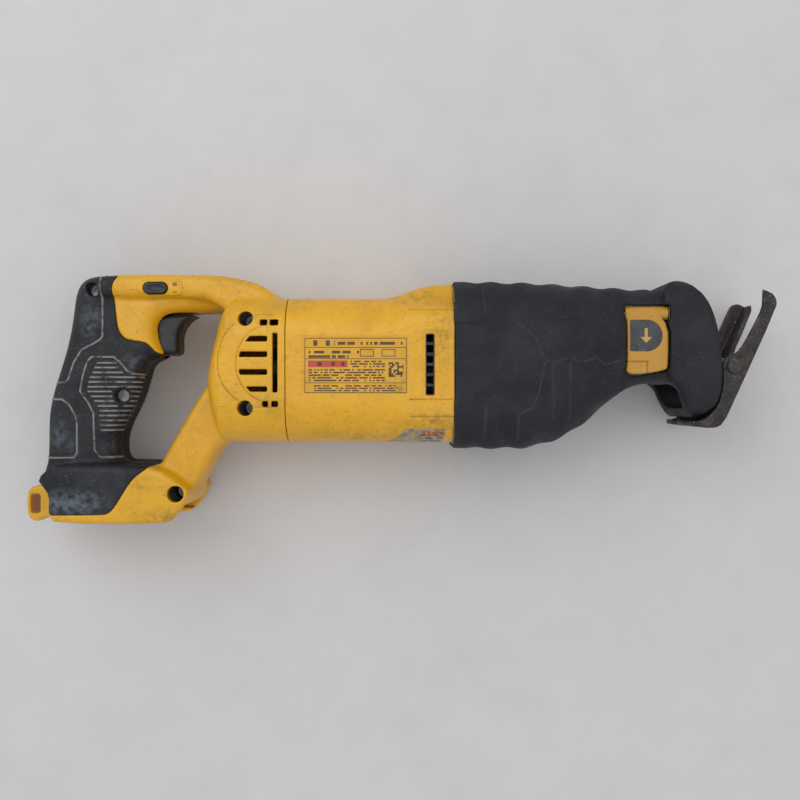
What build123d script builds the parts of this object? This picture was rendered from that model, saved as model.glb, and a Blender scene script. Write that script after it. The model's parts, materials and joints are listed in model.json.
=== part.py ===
"""Cordless D-handle reciprocating saw, lying on its left side.

+X runs towards the nose, +Y towards the top of the tool and +Z towards its right side.
All sizes are millimetres.  The clamshell parting plane is z = MID.
"""
from build123d import *
from math import atan2, cos, degrees, hypot, pi, radians, sin, tan
import os

os.makedirs("parts", exist_ok=True)

# ---- whole tool -------------------------------------------------------------------------
MID = 42.0                     # parting plane, half of the 84 mm motor housing width
SHIFT = (3.25, -0.5, 0.0)       # moves the drawing origin to the centre of the footprint

# ---- motor housing ----------------------------------------------------------------------
HOUSING_REAR, HOUSING_FRONT = -67.0, 31.0
HOUSING_BOTTOM, HOUSING_TOP = -24.9, 60.4
HOUSING_HALF, HOUSING_CORNER, HOUSING_WALL = 42.0, 24.0, 2.8
LABEL_BOX = (-56.0, 4.0, 3.5, 36.0)          # x0, x1, y0, y1 of the rating label
LABEL_DEPTH = 0.4
EXHAUST = (14.5, 19.5, 2.5, 38.0)            # x0, x1, y0, y1 of one fan exhaust slot
LONG_SCREW_YZ = [(47.0, MID + 33.5), (-7.5, MID + 33.5), (47.0, MID - 33.5), (-7.5, MID - 33.5)]

# ---- handle -----------------------------------------------------------------------------
OVERMOULD, HANDLE_WALL = 1.6, 3.6
GRIP_HALF, BAR_HALF, STRUT_HALF, FOOT_HALF = 19.5, 25.0, 20.0, 38.0
REAR_BLOCK = [(-60, 62), (-92, 62), (-104, 54), (-107, 44), (-108, 38), (-110, 31), (-112, 22),
              (-114, 10), (-110, -14), (-102, -26), (-60, -26)]
TOP_BAR = [(-188, 74.8), (-118, 74.6), (-108, 74), (-97, 72.4), (-87, 70), (-79, 66), (-73, 60),
           (-73, 44), (-96, 44), (-103, 52), (-111, 57.5), (-122, 60.8), (-188, 60.8)]
GRIP = [(-172, 75), (-186.5, 75), (-193.5, 71.5), (-197, 64), (-198.5, 52), (-200.5, 39), (-203.5, 27),
        (-207.5, 14.5), (-211, 3), (-213.5, -10), (-213.5, -34), (-215, -41), (-217.5, -48),
        (-206, -58), (-172, -58), (-155, -46), (-148, -40), (-162, -39.5), (-166.5, -35), (-166.7, -24.5),
        (-164, -15), (-159, -5), (-156, 5), (-154, 16), (-152.5, 23), (-141.5, 27), (-145, 33),
        (-146.5, 40), (-146.5, 46), (-141, 52.5), (-110, 53.5), (-104, 56), (-104, 66), (-168, 66)]
STRUT = [(-108, 16), (-116.5, 10), (-145.5, -40), (-150, -52), (-146, -66), (-130, -62), (-118, -44),
         (-112.5, -33), (-107, -26), (-98, -22), (-92, 2)]
FOOT = [(-209, -46), (-206, -51), (-204.5, -56), (-205.5, -68), (-201, -72.5), (-138, -72.5),
        (-133, -70), (-126.5, -62), (-123, -54), (-130, -47.5), (-143, -39.5), (-160, -38.5),
        (-200, -38.5)]
RUBBER_EDGE = [(-168.5, 80), (-168.5, 73), (-171, 70), (-172, 64), (-170.5, 50), (-169.5, 42),
               (-166, 37), (-162, 35.6), (-153, 34.5), (-149.5, 31), (-147, 28), (-136, 24),
               (-136, -20), (-150, -37), (-146, -39), (-155, -45), (-160, -52), (-166, -62),
               (-169.5, -66), (-174, -67.2), (-235, -67.2), (-235, 80)]
HANDLE_SCREWS = [(-90.0, 47.0, 39.0), (-90.0, -5.0, 39.0), (-131.0, -55.0, 30.0),
                 (-167.5, 2.5, 17.0), (-184.0, 66.0, 20.0)]      # x, y, head height above MID
BUTTON_X, BUTTON_Y, BUTTON_LONG, BUTTON_WIDE, BUTTON_PLAY = -145.5, 66.2, 14.0, 6.4, 0.35
BATTERY_HALF, RAIL_LIP, RAIL_THICK = 31.0, 5.5, 3.0

SUPPLY_LEAD = [(-187, -56.8), (-192, -20), (-183, 28.8)]
MOTOR_LEAD = [(-172, 50.3), (-169, 59.4), (-137, 59.4), (-130, 67.2), (-112, 67.2), (-96, 62), (-82, 53),
              (-72, 40), (-62, 30)]
LEAD_R = 1.1

# ---- trigger ----------------------------------------------------------------------------
TRIGGER_HALF, TRIGGER_PLAY = 11.0, 0.5
TRIGGER = [(-150, 50.5), (-140, 52), (-123.5, 51.8), (-128, 49.5), (-131.6, 44.5), (-133.2, 38),
           (-133.2, 31), (-135.4, 26.6), (-150, 27.6)]

# ---- motor ------------------------------------------------------------------------------
MOTOR_Y = 18.0
CAN_REAR, CAN_FRONT, CAN_R, CAN_WALL = -44.0, 10.0, 27.0, 2.0
MAGNET_R, AIR_GAP_R, CORE_R, SHAFT_R = 24.9, 20.8, 20.2, 4.0
BEARING_R = 11.0

# ---- gears and crank --------------------------------------------------------------------
PINION_TEETH, GEAR_TEETH = 10, 45
PINION_PITCH_R, GEAR_PITCH_R = 7.0, 31.5
GEAR_X, GEAR_FACE = 78.0, 35.0               # gear axis and the pitch plane of its face teeth
STROKE = 28.6
CRANK_R = STROKE / 2

# ---- plunger and blade clamp ------------------------------------------------------------
ROD_Y, ROD_R, ROD_FIT = 38.0, 6.0, 0.05
BUSHING_R = 9.5

# ---- gear case and rubber nose boot -----------------------------------------------------
BOOT_WALL, CASE_WALL = 2.6, 3.0
# x, bottom y, top y, half width, corner radius
BOOT_STATIONS = [(31, -29, 70.5, 42.0, 24), (75, -29, 69.6, 42.0, 24), (95, -23.5, 68.6, 41.0, 24),
                 (110, -14, 67.6, 39.0, 22), (122, -3, 67, 35.5, 20), (135, 6.5, 66.5, 32.0, 18),
                 (146, 10, 66, 30.0, 17), (160, 10.3, 65.5, 29.0, 17)]
BELL = [(153, 62), (156, 67), (160, 70.2), (165, 71), (170, 69.3), (174.5, 65.5), (180, 58), (183, 50),
        (185.5, 40), (187.3, 28), (188, 17), (187.3, 7), (185.5, 0), (182, -6), (178, -9.6),
        (172.5, -11.5), (169, -5), (166, 0), (163.5, 7), (156, 12)]
BELL_HALF = 33.0

# ---- blade release lever ----------------------------------------------------------------
LEVER = [(132, 14), (156, 17), (157.5, 20), (157.5, 51), (132, 51), (133.2, 44), (133.2, 22)]
LEVER_TOP, LEVER_THICK = 73.0, 8.0
LEVER_PIN_Y, LEVER_PIN_Z = 51.0, 69.0

# ---- shoe -------------------------------------------------------------------------------
SHOE_PIVOT = (196.5, 20.0)
SHOE_HALF, SHOE_SHEET, SHOE_SLOT_HALF = 30.0, 3.0, 12.5
SHOE_SIDE = [(196.8, 0), (221.5, 54.5), (221.5, 60), (217.6, 65.8), (213.6, 67), (213.4, 60),
             (213, 54), (208.6, 45), (202.3, 33), (198, 27.5), (190, 24), (189.3, 16), (190, 12.5),
             (188.9, 4), (187, -2.5), (182.5, -9), (176, -12.8), (170, -12.4), (168.6, -6.5), (167, -6.5),
             (166.4, -12), (169, -15), (184, -17.2), (190, -14.5)]


# ---- small geometry helpers -------------------------------------------------------------
def soft_outline(points, radius):
    """Closed outline face, each corner rounded as far as its neighbours allow."""
    radii = []
    n = len(points)
    for i in range(n):
        ax, ay = points[i - 1]
        bx, by = points[i]
        cx, cy = points[(i + 1) % n]
        la = hypot(ax - bx, ay - by)
        lc = hypot(cx - bx, cy - by)
        turn = abs(atan2(ay - by, ax - bx) - atan2(cy - by, cx - bx))
        turn = min(turn, 2 * pi - turn)
        radii.append(min(radius, 0.46 * min(la, lc) * tan(turn / 2)))
    return make_face(FilletPolyline(*points, radius=radii, close=True))


def prism(points, z0, z1, radius=1.0):
    return Pos(0, 0, z0) * extrude(soft_outline(points, radius), amount=z1 - z0)


def slab(points, half, radius, inset=0.0, edge=0.0):
    """Outline shrunk by inset and thickened evenly about the parting plane."""
    face = soft_outline(points, radius)
    if inset:
        face = offset(face, amount=-inset)
    body = Pos(0, 0, MID) * extrude(face, amount=half - inset, both=True)
    if edge:
        rims = [e for e in body.edges() if abs(abs(e.center().Z - MID) - (half - inset)) < 0.01]
        body = fillet(rims, edge)
    return body


def crowned_slab(points, half, radius, inset, edge):
    """Like slab, with the rim rounded off in steps that follow a quarter circle."""
    body = slab(points, half - edge, radius, 0.0) if not inset else None
    for angle in (0, 30, 60, 90):
        back = edge * (1 - cos(radians(angle))) + inset
        drop = edge * (1 - sin(radians(angle))) + inset
        face = soft_outline(points, radius)
        if back:
            face = offset(face, amount=-back)
        layer = Pos(0, 0, MID) * extrude(face, amount=half - drop, both=True)
        body = layer if body is None else body + layer
    return body


def box(x0, x1, y0, y1, z0, z1):
    return Pos((x0 + x1) / 2, (y0 + y1) / 2, (z0 + z1) / 2) * Box(x1 - x0, y1 - y0, z1 - z0)


def rod_x(x0, x1, y, z, r):
    return Pos((x0 + x1) / 2, y, z) * Rot(0, 90, 0) * Cylinder(r, x1 - x0)


def ring_x(x0, x1, y, z, r_out, r_in):
    return rod_x(x0, x1, y, z, r_out) - rod_x(x0 - 1, x1 + 1, y, z, r_in)


def rod_z(x, y, z0, z1, r):
    return Pos(x, y, (z0 + z1) / 2) * Cylinder(r, z1 - z0)


def ring_z(x, y, z0, z1, r_out, r_in):
    return rod_z(x, y, z0, z1, r_out) - rod_z(x, y, z0 - 1, z1 + 1, r_in)


def section_x(x, y0, y1, half, corner):
    plane = Plane(origin=(x, (y0 + y1) / 2, MID), x_dir=(0, 1, 0), z_dir=(1, 0, 0))
    return plane * RectangleRounded(y1 - y0, 2 * half, corner)


def bar_x(x0, x1, y0, y1, half, corner):
    return extrude(section_x(x0, y0, y1, half, corner), amount=x1 - x0)


def upper(shape):
    return shape & box(-400, 400, -200, 200, MID, 200)


def lower(shape):
    return shape & box(-400, 400, -200, 200, -100, MID)


def flip(shape):
    """Mirror image across the parting plane."""
    return mirror(shape, about=Plane.XY.offset(MID))


# ---- handle -----------------------------------------------------------------------------
def rear_block(inset):
    block = slab(REAR_BLOCK, HOUSING_HALF, 8, inset)
    block &= bar_x(-130, HOUSING_REAR, HOUSING_BOTTOM + inset, HOUSING_TOP - inset,
                   HOUSING_HALF - inset, HOUSING_CORNER - inset)
    rounding = Pos(-67, 20, MID) * Rot(90, 0, 0) * extrude(
        RectangleRounded(2 * (47 - inset), 2 * (HOUSING_HALF - inset), 14), amount=80, both=True)
    return block & rounding


def handle_form(inset, edge=True):
    """Outer form of the handle, shrunk by inset for the layers below."""
    k = 1 if edge else 0
    form = rear_block(inset)
    form += slab(TOP_BAR, BAR_HALF, 5, inset, 5.0 * k)
    if edge:
        form += crowned_slab(GRIP, GRIP_HALF, 5, 0, 5.0)
    else:
        form += slab(GRIP, GRIP_HALF, 5, inset)
    form += slab(STRUT, STRUT_HALF, 6, inset, 5.0 * k)
    form += slab(FOOT, FOOT_HALF, 4, inset, 2.5 * k)
    return form


def handle_cavity():
    """Hollow of the handle; the grip's share stops behind the bend under the bar."""
    hollow = rear_block(HANDLE_WALL)
    hollow += slab(TOP_BAR, BAR_HALF, 5, HANDLE_WALL)
    hollow += slab(GRIP, GRIP_HALF, 5, HANDLE_WALL) & box(-300, -128, -100, 100, -10, 100)
    hollow += slab(STRUT, STRUT_HALF, 6, HANDLE_WALL)
    hollow += slab(FOOT, FOOT_HALF, 4, HANDLE_WALL)
    # the foot keeps a solid floor above the battery pocket
    return hollow - box(-230, -100, -100, -57, -10, 100)


def rubber_zone():
    return prism(RUBBER_EDGE, -10, 100, 3)


def handle_vents():
    cuts = []
    for x0, y0, y1 in [(-86.5, 34.0, 36.6), (-94.0, 25.0, 27.6), (-94.0, 14.7, 17.3), (-85.5, 4.8, 7.4)]:
        cuts.append(box(x0, -77, y0, y1, MID + 30, 100))
    cuts.append(box(-74, -71.2, 4.2, 38.5, MID + 30, 100))
    for y0, y1 in [(43.0, 46.4), (-4.2, -0.9)]:
        cuts.append(box(-81, -76.6, y0, y1, MID + 25, 100))
        cuts.append(box(-75.2, -70.8, y0, y1, MID + 25, 100))
    return cuts


def oblong(length, width, z0, z1):
    return Pos(BUTTON_X, BUTTON_Y, z0) * extrude(SlotOverall(length, width), amount=z1 - z0)


def battery_pocket():
    """Open-fronted pocket under the foot with a lip along each side for the pack rails."""
    deep = box(-196, -100, -69.5, -62, MID - BATTERY_HALF, MID + BATTERY_HALF)
    mouth = box(-196, -100, -80, -69, MID - BATTERY_HALF + RAIL_LIP, MID + BATTERY_HALF - RAIL_LIP)
    return deep + mouth


def handle_half(form, rubber):
    """Left clamshell half before its screw bores: walls, bosses, vents and openings."""
    solid_half = form - rubber
    shell = solid_half - lower(handle_cavity())
    # open rear of the motor bay
    shell -= bar_x(-80, -60, HOUSING_BOTTOM + 3.6, HOUSING_TOP - 3.6, HOUSING_HALF - 3.6, HOUSING_CORNER - 3.6)
    for x, y, top in HANDLE_SCREWS:
        shell += rod_z(x, y, MID - top + 0.5, MID, 6.0) & solid_half
    # passage for the motor leads up into the bar
    shell -= box(-138, -127, 57.5, 69, MID - 9.5, MID + 1)
    shell -= battery_pocket()
    shell -= trigger_opening()
    shell -= oblong(BUTTON_LONG + 2 * BUTTON_PLAY, BUTTON_WIDE + 2 * BUTTON_PLAY, -10, 100)
    for cut in handle_vents():
        shell -= flip(cut)
    return shell


def trigger_opening():
    return prism([(-170, 25.8), (-120, 25.8), (-120, 53), (-170, 53)], MID - TRIGGER_HALF - TRIGGER_PLAY,
                 MID + TRIGGER_HALF + TRIGGER_PLAY)


def bore_left(shell):
    for x, y, top in HANDLE_SCREWS:
        shell -= rod_z(x, y, MID - 12, MID + 1, 2.0)
    return shell


def bore_right(shell):
    for x, y, top in HANDLE_SCREWS:
        shell -= rod_z(x, y, MID + 9, 100, 4.3)
        shell -= rod_z(x, y, MID - 1, MID + 10, 2.15)
    return shell


def bore_grip(skin):
    """The right skin stays clear of the two screw wells that pass through it."""
    skin -= rod_z(-167.5, 2.5, MID, 100, 4.8)
    return skin - rod_z(-184, 66, MID, 100, 4.8)


def screw_z(x, y, head_base, length, shaft_r=2.0, head_r=3.8):
    """Pan head screw driven down along -Z, with a six-sided socket."""
    body = rod_z(x, y, head_base - length, head_base, shaft_r) + rod_z(x, y, head_base, head_base + 2.6, head_r)
    socket = Pos(x, y, head_base + 1.2) * extrude(RegularPolygon(2.0, 6), amount=3)
    return body - socket


def handle_screws():
    return Compound([screw_z(x, y, MID + 9, 20) for x, y, top in HANDLE_SCREWS])


def tether_loop():
    """Lanyard ring fixed behind the foot."""
    plan = [(-228, -54.5), (-222, -52), (-206, -52), (-206, -71), (-219, -71.5), (-220, -74), (-224, -74),
            (-228, -70)]
    ring = prism(plan, MID - 9, MID + 9, 3)
    hole = prism([(-225.3, -57.5), (-219.6, -57.5), (-219.6, -69), (-225.3, -69)], 0, 100, 1.5)
    ring -= slab(FOOT, FOOT_HALF, 4)
    ring -= slab(GRIP, GRIP_HALF, 5)
    return ring - hole


def trigger():
    body = crowned_slab(TRIGGER, TRIGGER_HALF, 2.5, 0, 2.0)
    return body + rod_x(-157.5, -149, 39, MID, 3)


def lock_off_button():
    return oblong(BUTTON_LONG, BUTTON_WIDE, MID - BAR_HALF + 2.0, MID + BAR_HALF + 1.6)


def switch_module():
    return box(-189, -165.3, 29, 50, MID - 12, MID + 12)


def terminal_block():
    block = box(-195.8, -182, -68, -62, MID - 20, MID + 20)
    for i in range(4):
        z = MID - 13.5 + 9 * i
        block -= box(-190, -181, -72, -63.5, z - 1.6, z + 1.6)
    return block


def battery_contacts():
    blades = []
    for i in range(4):
        z = MID - 13.5 + 9 * i
        blades.append(box(-190, -168, -68, -64.5, z - 0.5, z + 0.5))
    return Compound(blades)


def lead(z, points):
    path = FilletPolyline(*[(x, y, z) for x, y in points], radius=4)
    start = path @ 0
    tangent = path % 0
    return sweep(Plane(origin=start, z_dir=tangent) * Circle(LEAD_R), path=path)


# ---- motor housing ----------------------------------------------------------------------
def motor_housing():
    body = bar_x(HOUSING_REAR, HOUSING_FRONT, HOUSING_BOTTOM, HOUSING_TOP, HOUSING_HALF, HOUSING_CORNER)
    bulge = [(-4, 55), (-2, 60.4), (8, 65.8), (20, 68.8), (31, 69.4), (31, 55)]
    body += crowned_slab(bulge, 24, 4, 0, 3)
    for y, z in LONG_SCREW_YZ:
        body += rod_x(6, HOUSING_FRONT, y, z, 6.6) & bar_x(0, 40, -28, 66, HOUSING_HALF, 12)
    bore = bar_x(-80, 60, HOUSING_BOTTOM + HOUSING_WALL, HOUSING_TOP - HOUSING_WALL,
                 HOUSING_HALF - HOUSING_WALL, HOUSING_CORNER - HOUSING_WALL)
    for y, z in LONG_SCREW_YZ:
        bore -= rod_x(4, HOUSING_FRONT, y, z, 5.2)
    body -= bore
    for y, z in LONG_SCREW_YZ:
        body -= rod_x(10, 60, y, z, 2.0)
    # ribs that carry the motor can
    for x in (-38.0, -4.0):
        web = bar_x(x, x + 4, HOUSING_BOTTOM + 2, HOUSING_TOP - 2, HOUSING_HALF - 2, HOUSING_CORNER - 2)
        body += web - rod_x(x - 1, x + 5, MOTOR_Y, MID, CAN_R)
    x0, x1, y0, y1 = EXHAUST
    body -= box(x0, x1, y0, y1, -10, 100) - box(-80, 80, -30, 70, MID - 36, MID + 36)
    lx0, lx1, ly0, ly1 = LABEL_BOX
    body -= box(lx0, lx1, ly0, ly1, 2 * MID - LABEL_DEPTH, 100)
    return body


def rating_label():
    x0, x1, y0, y1 = LABEL_BOX
    return box(x0, x1, y0, y1, 2 * MID - LABEL_DEPTH, 2 * MID)


def warning_sticker():
    skin = bar_x(-12, 28, HOUSING_BOTTOM - 0.15, HOUSING_TOP, HOUSING_HALF + 0.15, HOUSING_CORNER + 0.15)
    skin -= bar_x(-20, 40, HOUSING_BOTTOM, HOUSING_TOP + 1, HOUSING_HALF, HOUSING_CORNER)
    patch = prism([(-8, -23.5), (2, -16.5), (5, -16.5), (5, -24)], MID + 10, 2 * MID - 0.05, 1)
    return skin & patch


def exhaust_louvres():
    """Slanted baffle strips clipped inside the two exhaust slots."""
    x0, x1, y0, y1 = EXHAUST
    inner = 2 * MID - HOUSING_WALL - 0.15
    strip = box(x0 - 1.5, x1 + 1.5, y0 - 2, y1 + 0.2, inner - 1.6, inner)
    for i in range(6):
        y = y0 + 3 + 6 * i
        strip -= box(x0 + 0.6, x1 - 0.6, y - 2.2, y + 2.2, 0, 100)
    return Compound([strip, flip(strip)])


# ---- motor ------------------------------------------------------------------------------
def motor_can():
    can = ring_x(CAN_REAR, CAN_FRONT, MOTOR_Y, MID, CAN_R, CAN_R - CAN_WALL)
    for i in range(6):
        a = radians(30 + 60 * i)
        can -= Pos((CAN_REAR + CAN_FRONT) / 2, MOTOR_Y + 26 * cos(a), MID + 26 * sin(a)) * Box(14, 5, 5)
    return can


def field_magnets():
    ring = ring_x(-37, 4, MOTOR_Y, MID, CAN_R - CAN_WALL, AIR_GAP_R)
    for i in range(4):
        a = 45 + 90 * i
        ring -= Pos(-16, MOTOR_Y, MID) * Rot(a, 0, 0) * Pos(0, 23, 0) * Box(60, 12, 7)
    return ring


def armature_core():
    core = ring_x(-36, 3, MOTOR_Y, MID, CORE_R, SHAFT_R)
    for i in range(12):
        core -= Pos(-16.5, MOTOR_Y, MID) * Rot(30 * i, 0, 0) * Pos(0, 17.5, 0) * Box(60, 7, 3.2)
    return core


def armature_windings():
    coils = []
    for i in range(12):
        coils.append(Pos(-16.5, MOTOR_Y, MID) * Rot(30 * i, 0, 0) * Pos(0, 16.8, 0) * Box(52, 5, 3.0))
    ends = ring_x(-43, -36.2, MOTOR_Y, MID, 18.5, 9) + ring_x(3.2, 9.5, MOTOR_Y, MID, 18.5, 9)
    for coil in coils:
        ends += coil
    return ends


def commutator():
    body = ring_x(-60, -48, MOTOR_Y, MID, 10, SHAFT_R)
    for i in range(18):
        body -= Pos(-54, MOTOR_Y, MID) * Rot(20 * i, 0, 0) * Pos(0, 10, 0) * Box(20, 1.4, 0.6)
    return body


def cooling_fan():
    fan = ring_x(13.5, 15, MOTOR_Y, MID, 29, 9) + ring_x(13.5, 23, MOTOR_Y, MID, 9.2, SHAFT_R)
    for i in range(16):
        fan += Pos(18.5, MOTOR_Y, MID) * Rot(22.5 * i, 0, 0) * Pos(0, 22, 0) * Rot(25, 0, 0) * Box(9, 13, 1.2)
    return fan


def motor_shaft():
    return rod_x(-77, 51, MOTOR_Y, MID, SHAFT_R)


def bearing(x0, x1):
    return ring_x(x0, x1, MOTOR_Y, MID, BEARING_R, SHAFT_R + 0.05)


def front_end_bell():
    """Plate between motor bay and gear case that seats the front motor bearing."""
    plate = bar_x(26, 30.8, HOUSING_BOTTOM + 3, HOUSING_TOP - 3, HOUSING_HALF - 3, HOUSING_CORNER - 3)
    for y, z in LONG_SCREW_YZ:
        plate -= rod_x(20, 40, y, z, 6.8)
    plate += rod_x(30, 39, MOTOR_Y, MID, 14)
    plate -= rod_x(31, 40, MOTOR_Y, MID, BEARING_R)
    plate -= rod_x(20, 40, MOTOR_Y, MID, 6)
    return plate


def rear_end_bell():
    """Brush plate clamped behind the can, with the rear bearing cup."""
    plate = ring_x(-47, CAN_REAR, MOTOR_Y, MID, CAN_R, 19.5)
    cup = ring_x(-79, -68.5, MOTOR_Y, MID, 13.5, BEARING_R)
    cup += ring_x(-68.5, -66.5, MOTOR_Y, MID, 13.5, 6)
    for i in range(4):
        a = radians(45 + 90 * i)
        plate += rod_x(-66.5, -46, MOTOR_Y + 20 * cos(a), MID + 20 * sin(a), 2.4)
        arm = Pos(-67.5, MOTOR_Y + 16 * cos(a), MID + 16 * sin(a)) * Rot(45 + 90 * i, 0, 0) * Box(2, 13, 4)
        cup += arm
    return plate + cup


def brush_holders():
    tubes = []
    for s in (1, -1):
        t = box(-59, -49, MOTOR_Y - 5, MOTOR_Y + 5, MID + s * 19.5 - 7.5, MID + s * 19.5 + 7.5)
        t -= box(-57, -51, MOTOR_Y - 3, MOTOR_Y + 3, 0, 100)
        t += box(-49, -47, MOTOR_Y - 5, MOTOR_Y + 5, MID + s * 22.5 - 2.5, MID + s * 22.5 + 2.5)
        tubes.append(t)
    return Compound(tubes)


def carbon_brushes():
    blocks = [box(-57, -51, MOTOR_Y - 3, MOTOR_Y + 3, MID + s * 16.2 - 5.8, MID + s * 16.2 + 5.8) for s in (1, -1)]
    return Compound(blocks)


def brush_springs():
    coils = []
    for s in (1, -1):
        for i in range(3):
            coils.append(ring_z(-54, MOTOR_Y, MID + s * (23 + 1.5 * i) - 0.45, MID + s * (23 + 1.5 * i) + 0.45,
                                2.6, 1.7))
    return Compound(coils)


# ---- gears, crank and plunger -----------------------------------------------------------
def motor_pinion():
    body = ring_x(42, 50, MOTOR_Y, MID, 5.3, SHAFT_R)
    for i in range(PINION_TEETH):
        tooth = Pos(46.2, MOTOR_Y, MID) * Rot(360 / PINION_TEETH * i + 90, 0, 0) * Pos(0, 6.5, 0) * Box(7, 3.0, 1.4)
        body += tooth
    return body


def drive_gear():
    """Face gear turned by the pinion; its short shaft runs in the left half of the case."""
    body = rod_z(GEAR_X, MOTOR_Y, 26, 33, 36)
    body -= ring_z(GEAR_X, MOTOR_Y, 31, 34, 26, 21)
    body += rod_z(GEAR_X, MOTOR_Y, 12.5, 27, 5.0)
    for i in range(GEAR_TEETH):
        tooth = Pos(GEAR_X, MOTOR_Y, 34.2) * Rot(0, 0, 360 / GEAR_TEETH * i) * Pos(GEAR_PITCH_R, 0, 0) * Box(7, 1.4, 2.6)
        body += tooth
    for i in range(5):
        a = radians(36 + 72 * i)
        body -= rod_z(GEAR_X + 23.5 * cos(a), MOTOR_Y + 23.5 * sin(a), 20, 40, 3)
    return body - rod_z(GEAR_X + CRANK_R, MOTOR_Y, 27, 40, 3.0)


def crank_pin():
    return rod_z(GEAR_X + CRANK_R, MOTOR_Y, 27, 35.7, 3.0)


def crank_roller():
    return ring_z(GEAR_X + CRANK_R, MOTOR_Y, 33.1, 35.6, 6.4, 3.0)


def gear_bearings():
    parts = []
    for z0, z1 in [(13, 18), (19, 24)]:
        parts.append(ring_z(GEAR_X, MOTOR_Y, z0, z1, 10.5, 5.05))
    return Compound(parts)


def plunger():
    """Rod with the slotted cross yoke, which clears the crank roller by a small gap."""
    yoke = box(GEAR_X - 10, GEAR_X + 10, -0.5, 45, 38, 46)
    yoke -= box(GEAR_X - 6.8, GEAR_X + 6.8, 2.5, 33.5, 30, 50)
    body = rod_x(GEAR_X - 8, 173, ROD_Y, MID, ROD_R)
    return yoke + body


def plunger_bushing(x0, x1):
    return ring_x(x0, x1, ROD_Y, MID, BUSHING_R, ROD_R + ROD_FIT)


def plunger_seal():
    return ring_x(145.2, 148, ROD_Y, MID, BUSHING_R, ROD_R + 0.08)


def blade_clamp_body():
    body = rod_x(164, 182, ROD_Y, MID, 9.2) - rod_x(160, 173, ROD_Y, MID, ROD_R)
    body -= box(173, 190, ROD_Y - 8, ROD_Y + 8, MID - 0.8, MID + 0.8)
    body -= rod_z(178, ROD_Y, MID, 80, 1.6)
    return body


def clamp_collar():
    ring = ring_x(165, 180, ROD_Y, MID, 12.6, 9.25)
    for i in range(12):
        a = radians(30 * i)
        ring -= rod_x(160, 190, ROD_Y + 13.2 * cos(a), MID + 13.2 * sin(a), 1.2)
    return ring


def clamp_lock_pin():
    return rod_z(178, ROD_Y, MID + 0.9, MID + 8.9, 1.6)


def clamp_snap_ring():
    return ring_x(180.4, 181.4, ROD_Y, MID, 11.2, 9.2)


# ---- gear case and boot -----------------------------------------------------------------
def nose_form(inset, x0, x1):
    """Tapering body of the nose between two stations, shrunk by inset."""
    out = None
    for a, b in zip(BOOT_STATIONS, BOOT_STATIONS[1:]):
        ends = [section_x(s[0], s[1] + inset, s[2] - inset, s[3] - inset, s[4] - inset) for s in (a, b)]
        piece = loft(ends, ruled=True)
        out = piece if out is None else out + piece
    return out & box(x0, x1, -100, 100, -100, 200)


def gear_case():
    body = nose_form(BOOT_WALL, 31, 160)
    body -= nose_form(BOOT_WALL + CASE_WALL, 28, 127)
    body += box(115, 128, 22, 56, MID - 14, MID + 14)           # rear bushing block
    body -= rod_x(100, 149, ROD_Y, MID, BUSHING_R)
    body -= rod_x(148, 170, ROD_Y, MID, 14)
    body += ring_z(GEAR_X, MOTOR_Y, 4, 24, 14, 10.5) + rod_z(GEAR_X, MOTOR_Y, 3.5, 9, 14)
    # pocket and pin ears for the release lever
    body -= box(130.5, 158, 10, 56.5, 60.5, 100)
    body -= box(127.2, 158, 10, 56.5, 64.5, 100)
    body += box(123, 127.2, 46, 56, 58, 71.8)
    body += box(158, 160, 46, 56, 58, 71.8)
    body -= rod_x(120, 170, LEVER_PIN_Y, LEVER_PIN_Z, 1.5)
    # post that carries the shoe
    body += box(155, 190, 13, 26, MID - 8, MID + 8)
    body -= rod_x(148, 200, ROD_Y, MID, 14)
    body += rod_z(SHOE_PIVOT[0] - 0.5, SHOE_PIVOT[1], MID - 8, MID + 8, 5.5)
    body += box(180, SHOE_PIVOT[0], 15, 23.5, MID - 8, MID + 8)
    body -= rod_z(SHOE_PIVOT[0], SHOE_PIVOT[1], 0, 100, 3.0)
    for y, z in LONG_SCREW_YZ:
        body += rod_x(31, 42, y, z, 6.0) & nose_form(BOOT_WALL, 31, 60)
    for y, z in LONG_SCREW_YZ:
        body -= rod_x(20, 41.9, y, z, 2.05)
        body -= rod_x(41.9, 60, y, z, 4.3)
    return body


def gear_case_gasket(case):
    return case & box(0, 200, -100, 100, MID - 0.3, MID + 0.3) & box(31, 150, -100, 100, 0, 100)


def long_screws():
    group = []
    for y, z in LONG_SCREW_YZ:
        s = rod_x(12, 41.9, y, z, 2.0) + rod_x(41.9, 44.6, y, z, 4.1)
        s -= Pos(43.2, y, z) * Rot(0, 90, 0) * extrude(RegularPolygon(2.1, 6), amount=4)
        group.append(s)
    return Compound(group)


def nose_boot():
    """Rubber sleeve over the gear case that flares into a bell round the blade clamp."""
    body = nose_form(0, 31, 160)
    bell = crowned_slab(BELL, BELL_HALF, 5, 0, 6)
    bell &= bar_x(150, 195, -12.5, 72, BELL_HALF, 22)
    body += bell
    body -= nose_form(BOOT_WALL, 30, 160)
    hollow = bar_x(160, 200, -5, 63.5, BELL_HALF - 6, 18)
    body -= hollow
    # window round the lever
    body -= box(127, 158.2, 12.6, 56.6, MID + 15, 100)
    body -= box(122.8, 160.2, 45.8, 56.6, MID + 15, 100)
    # screw head wells seen at the rear edge
    for y, z in LONG_SCREW_YZ:
        body -= rod_x(41.9, 50, y, z, 4.3)
    return body


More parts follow.
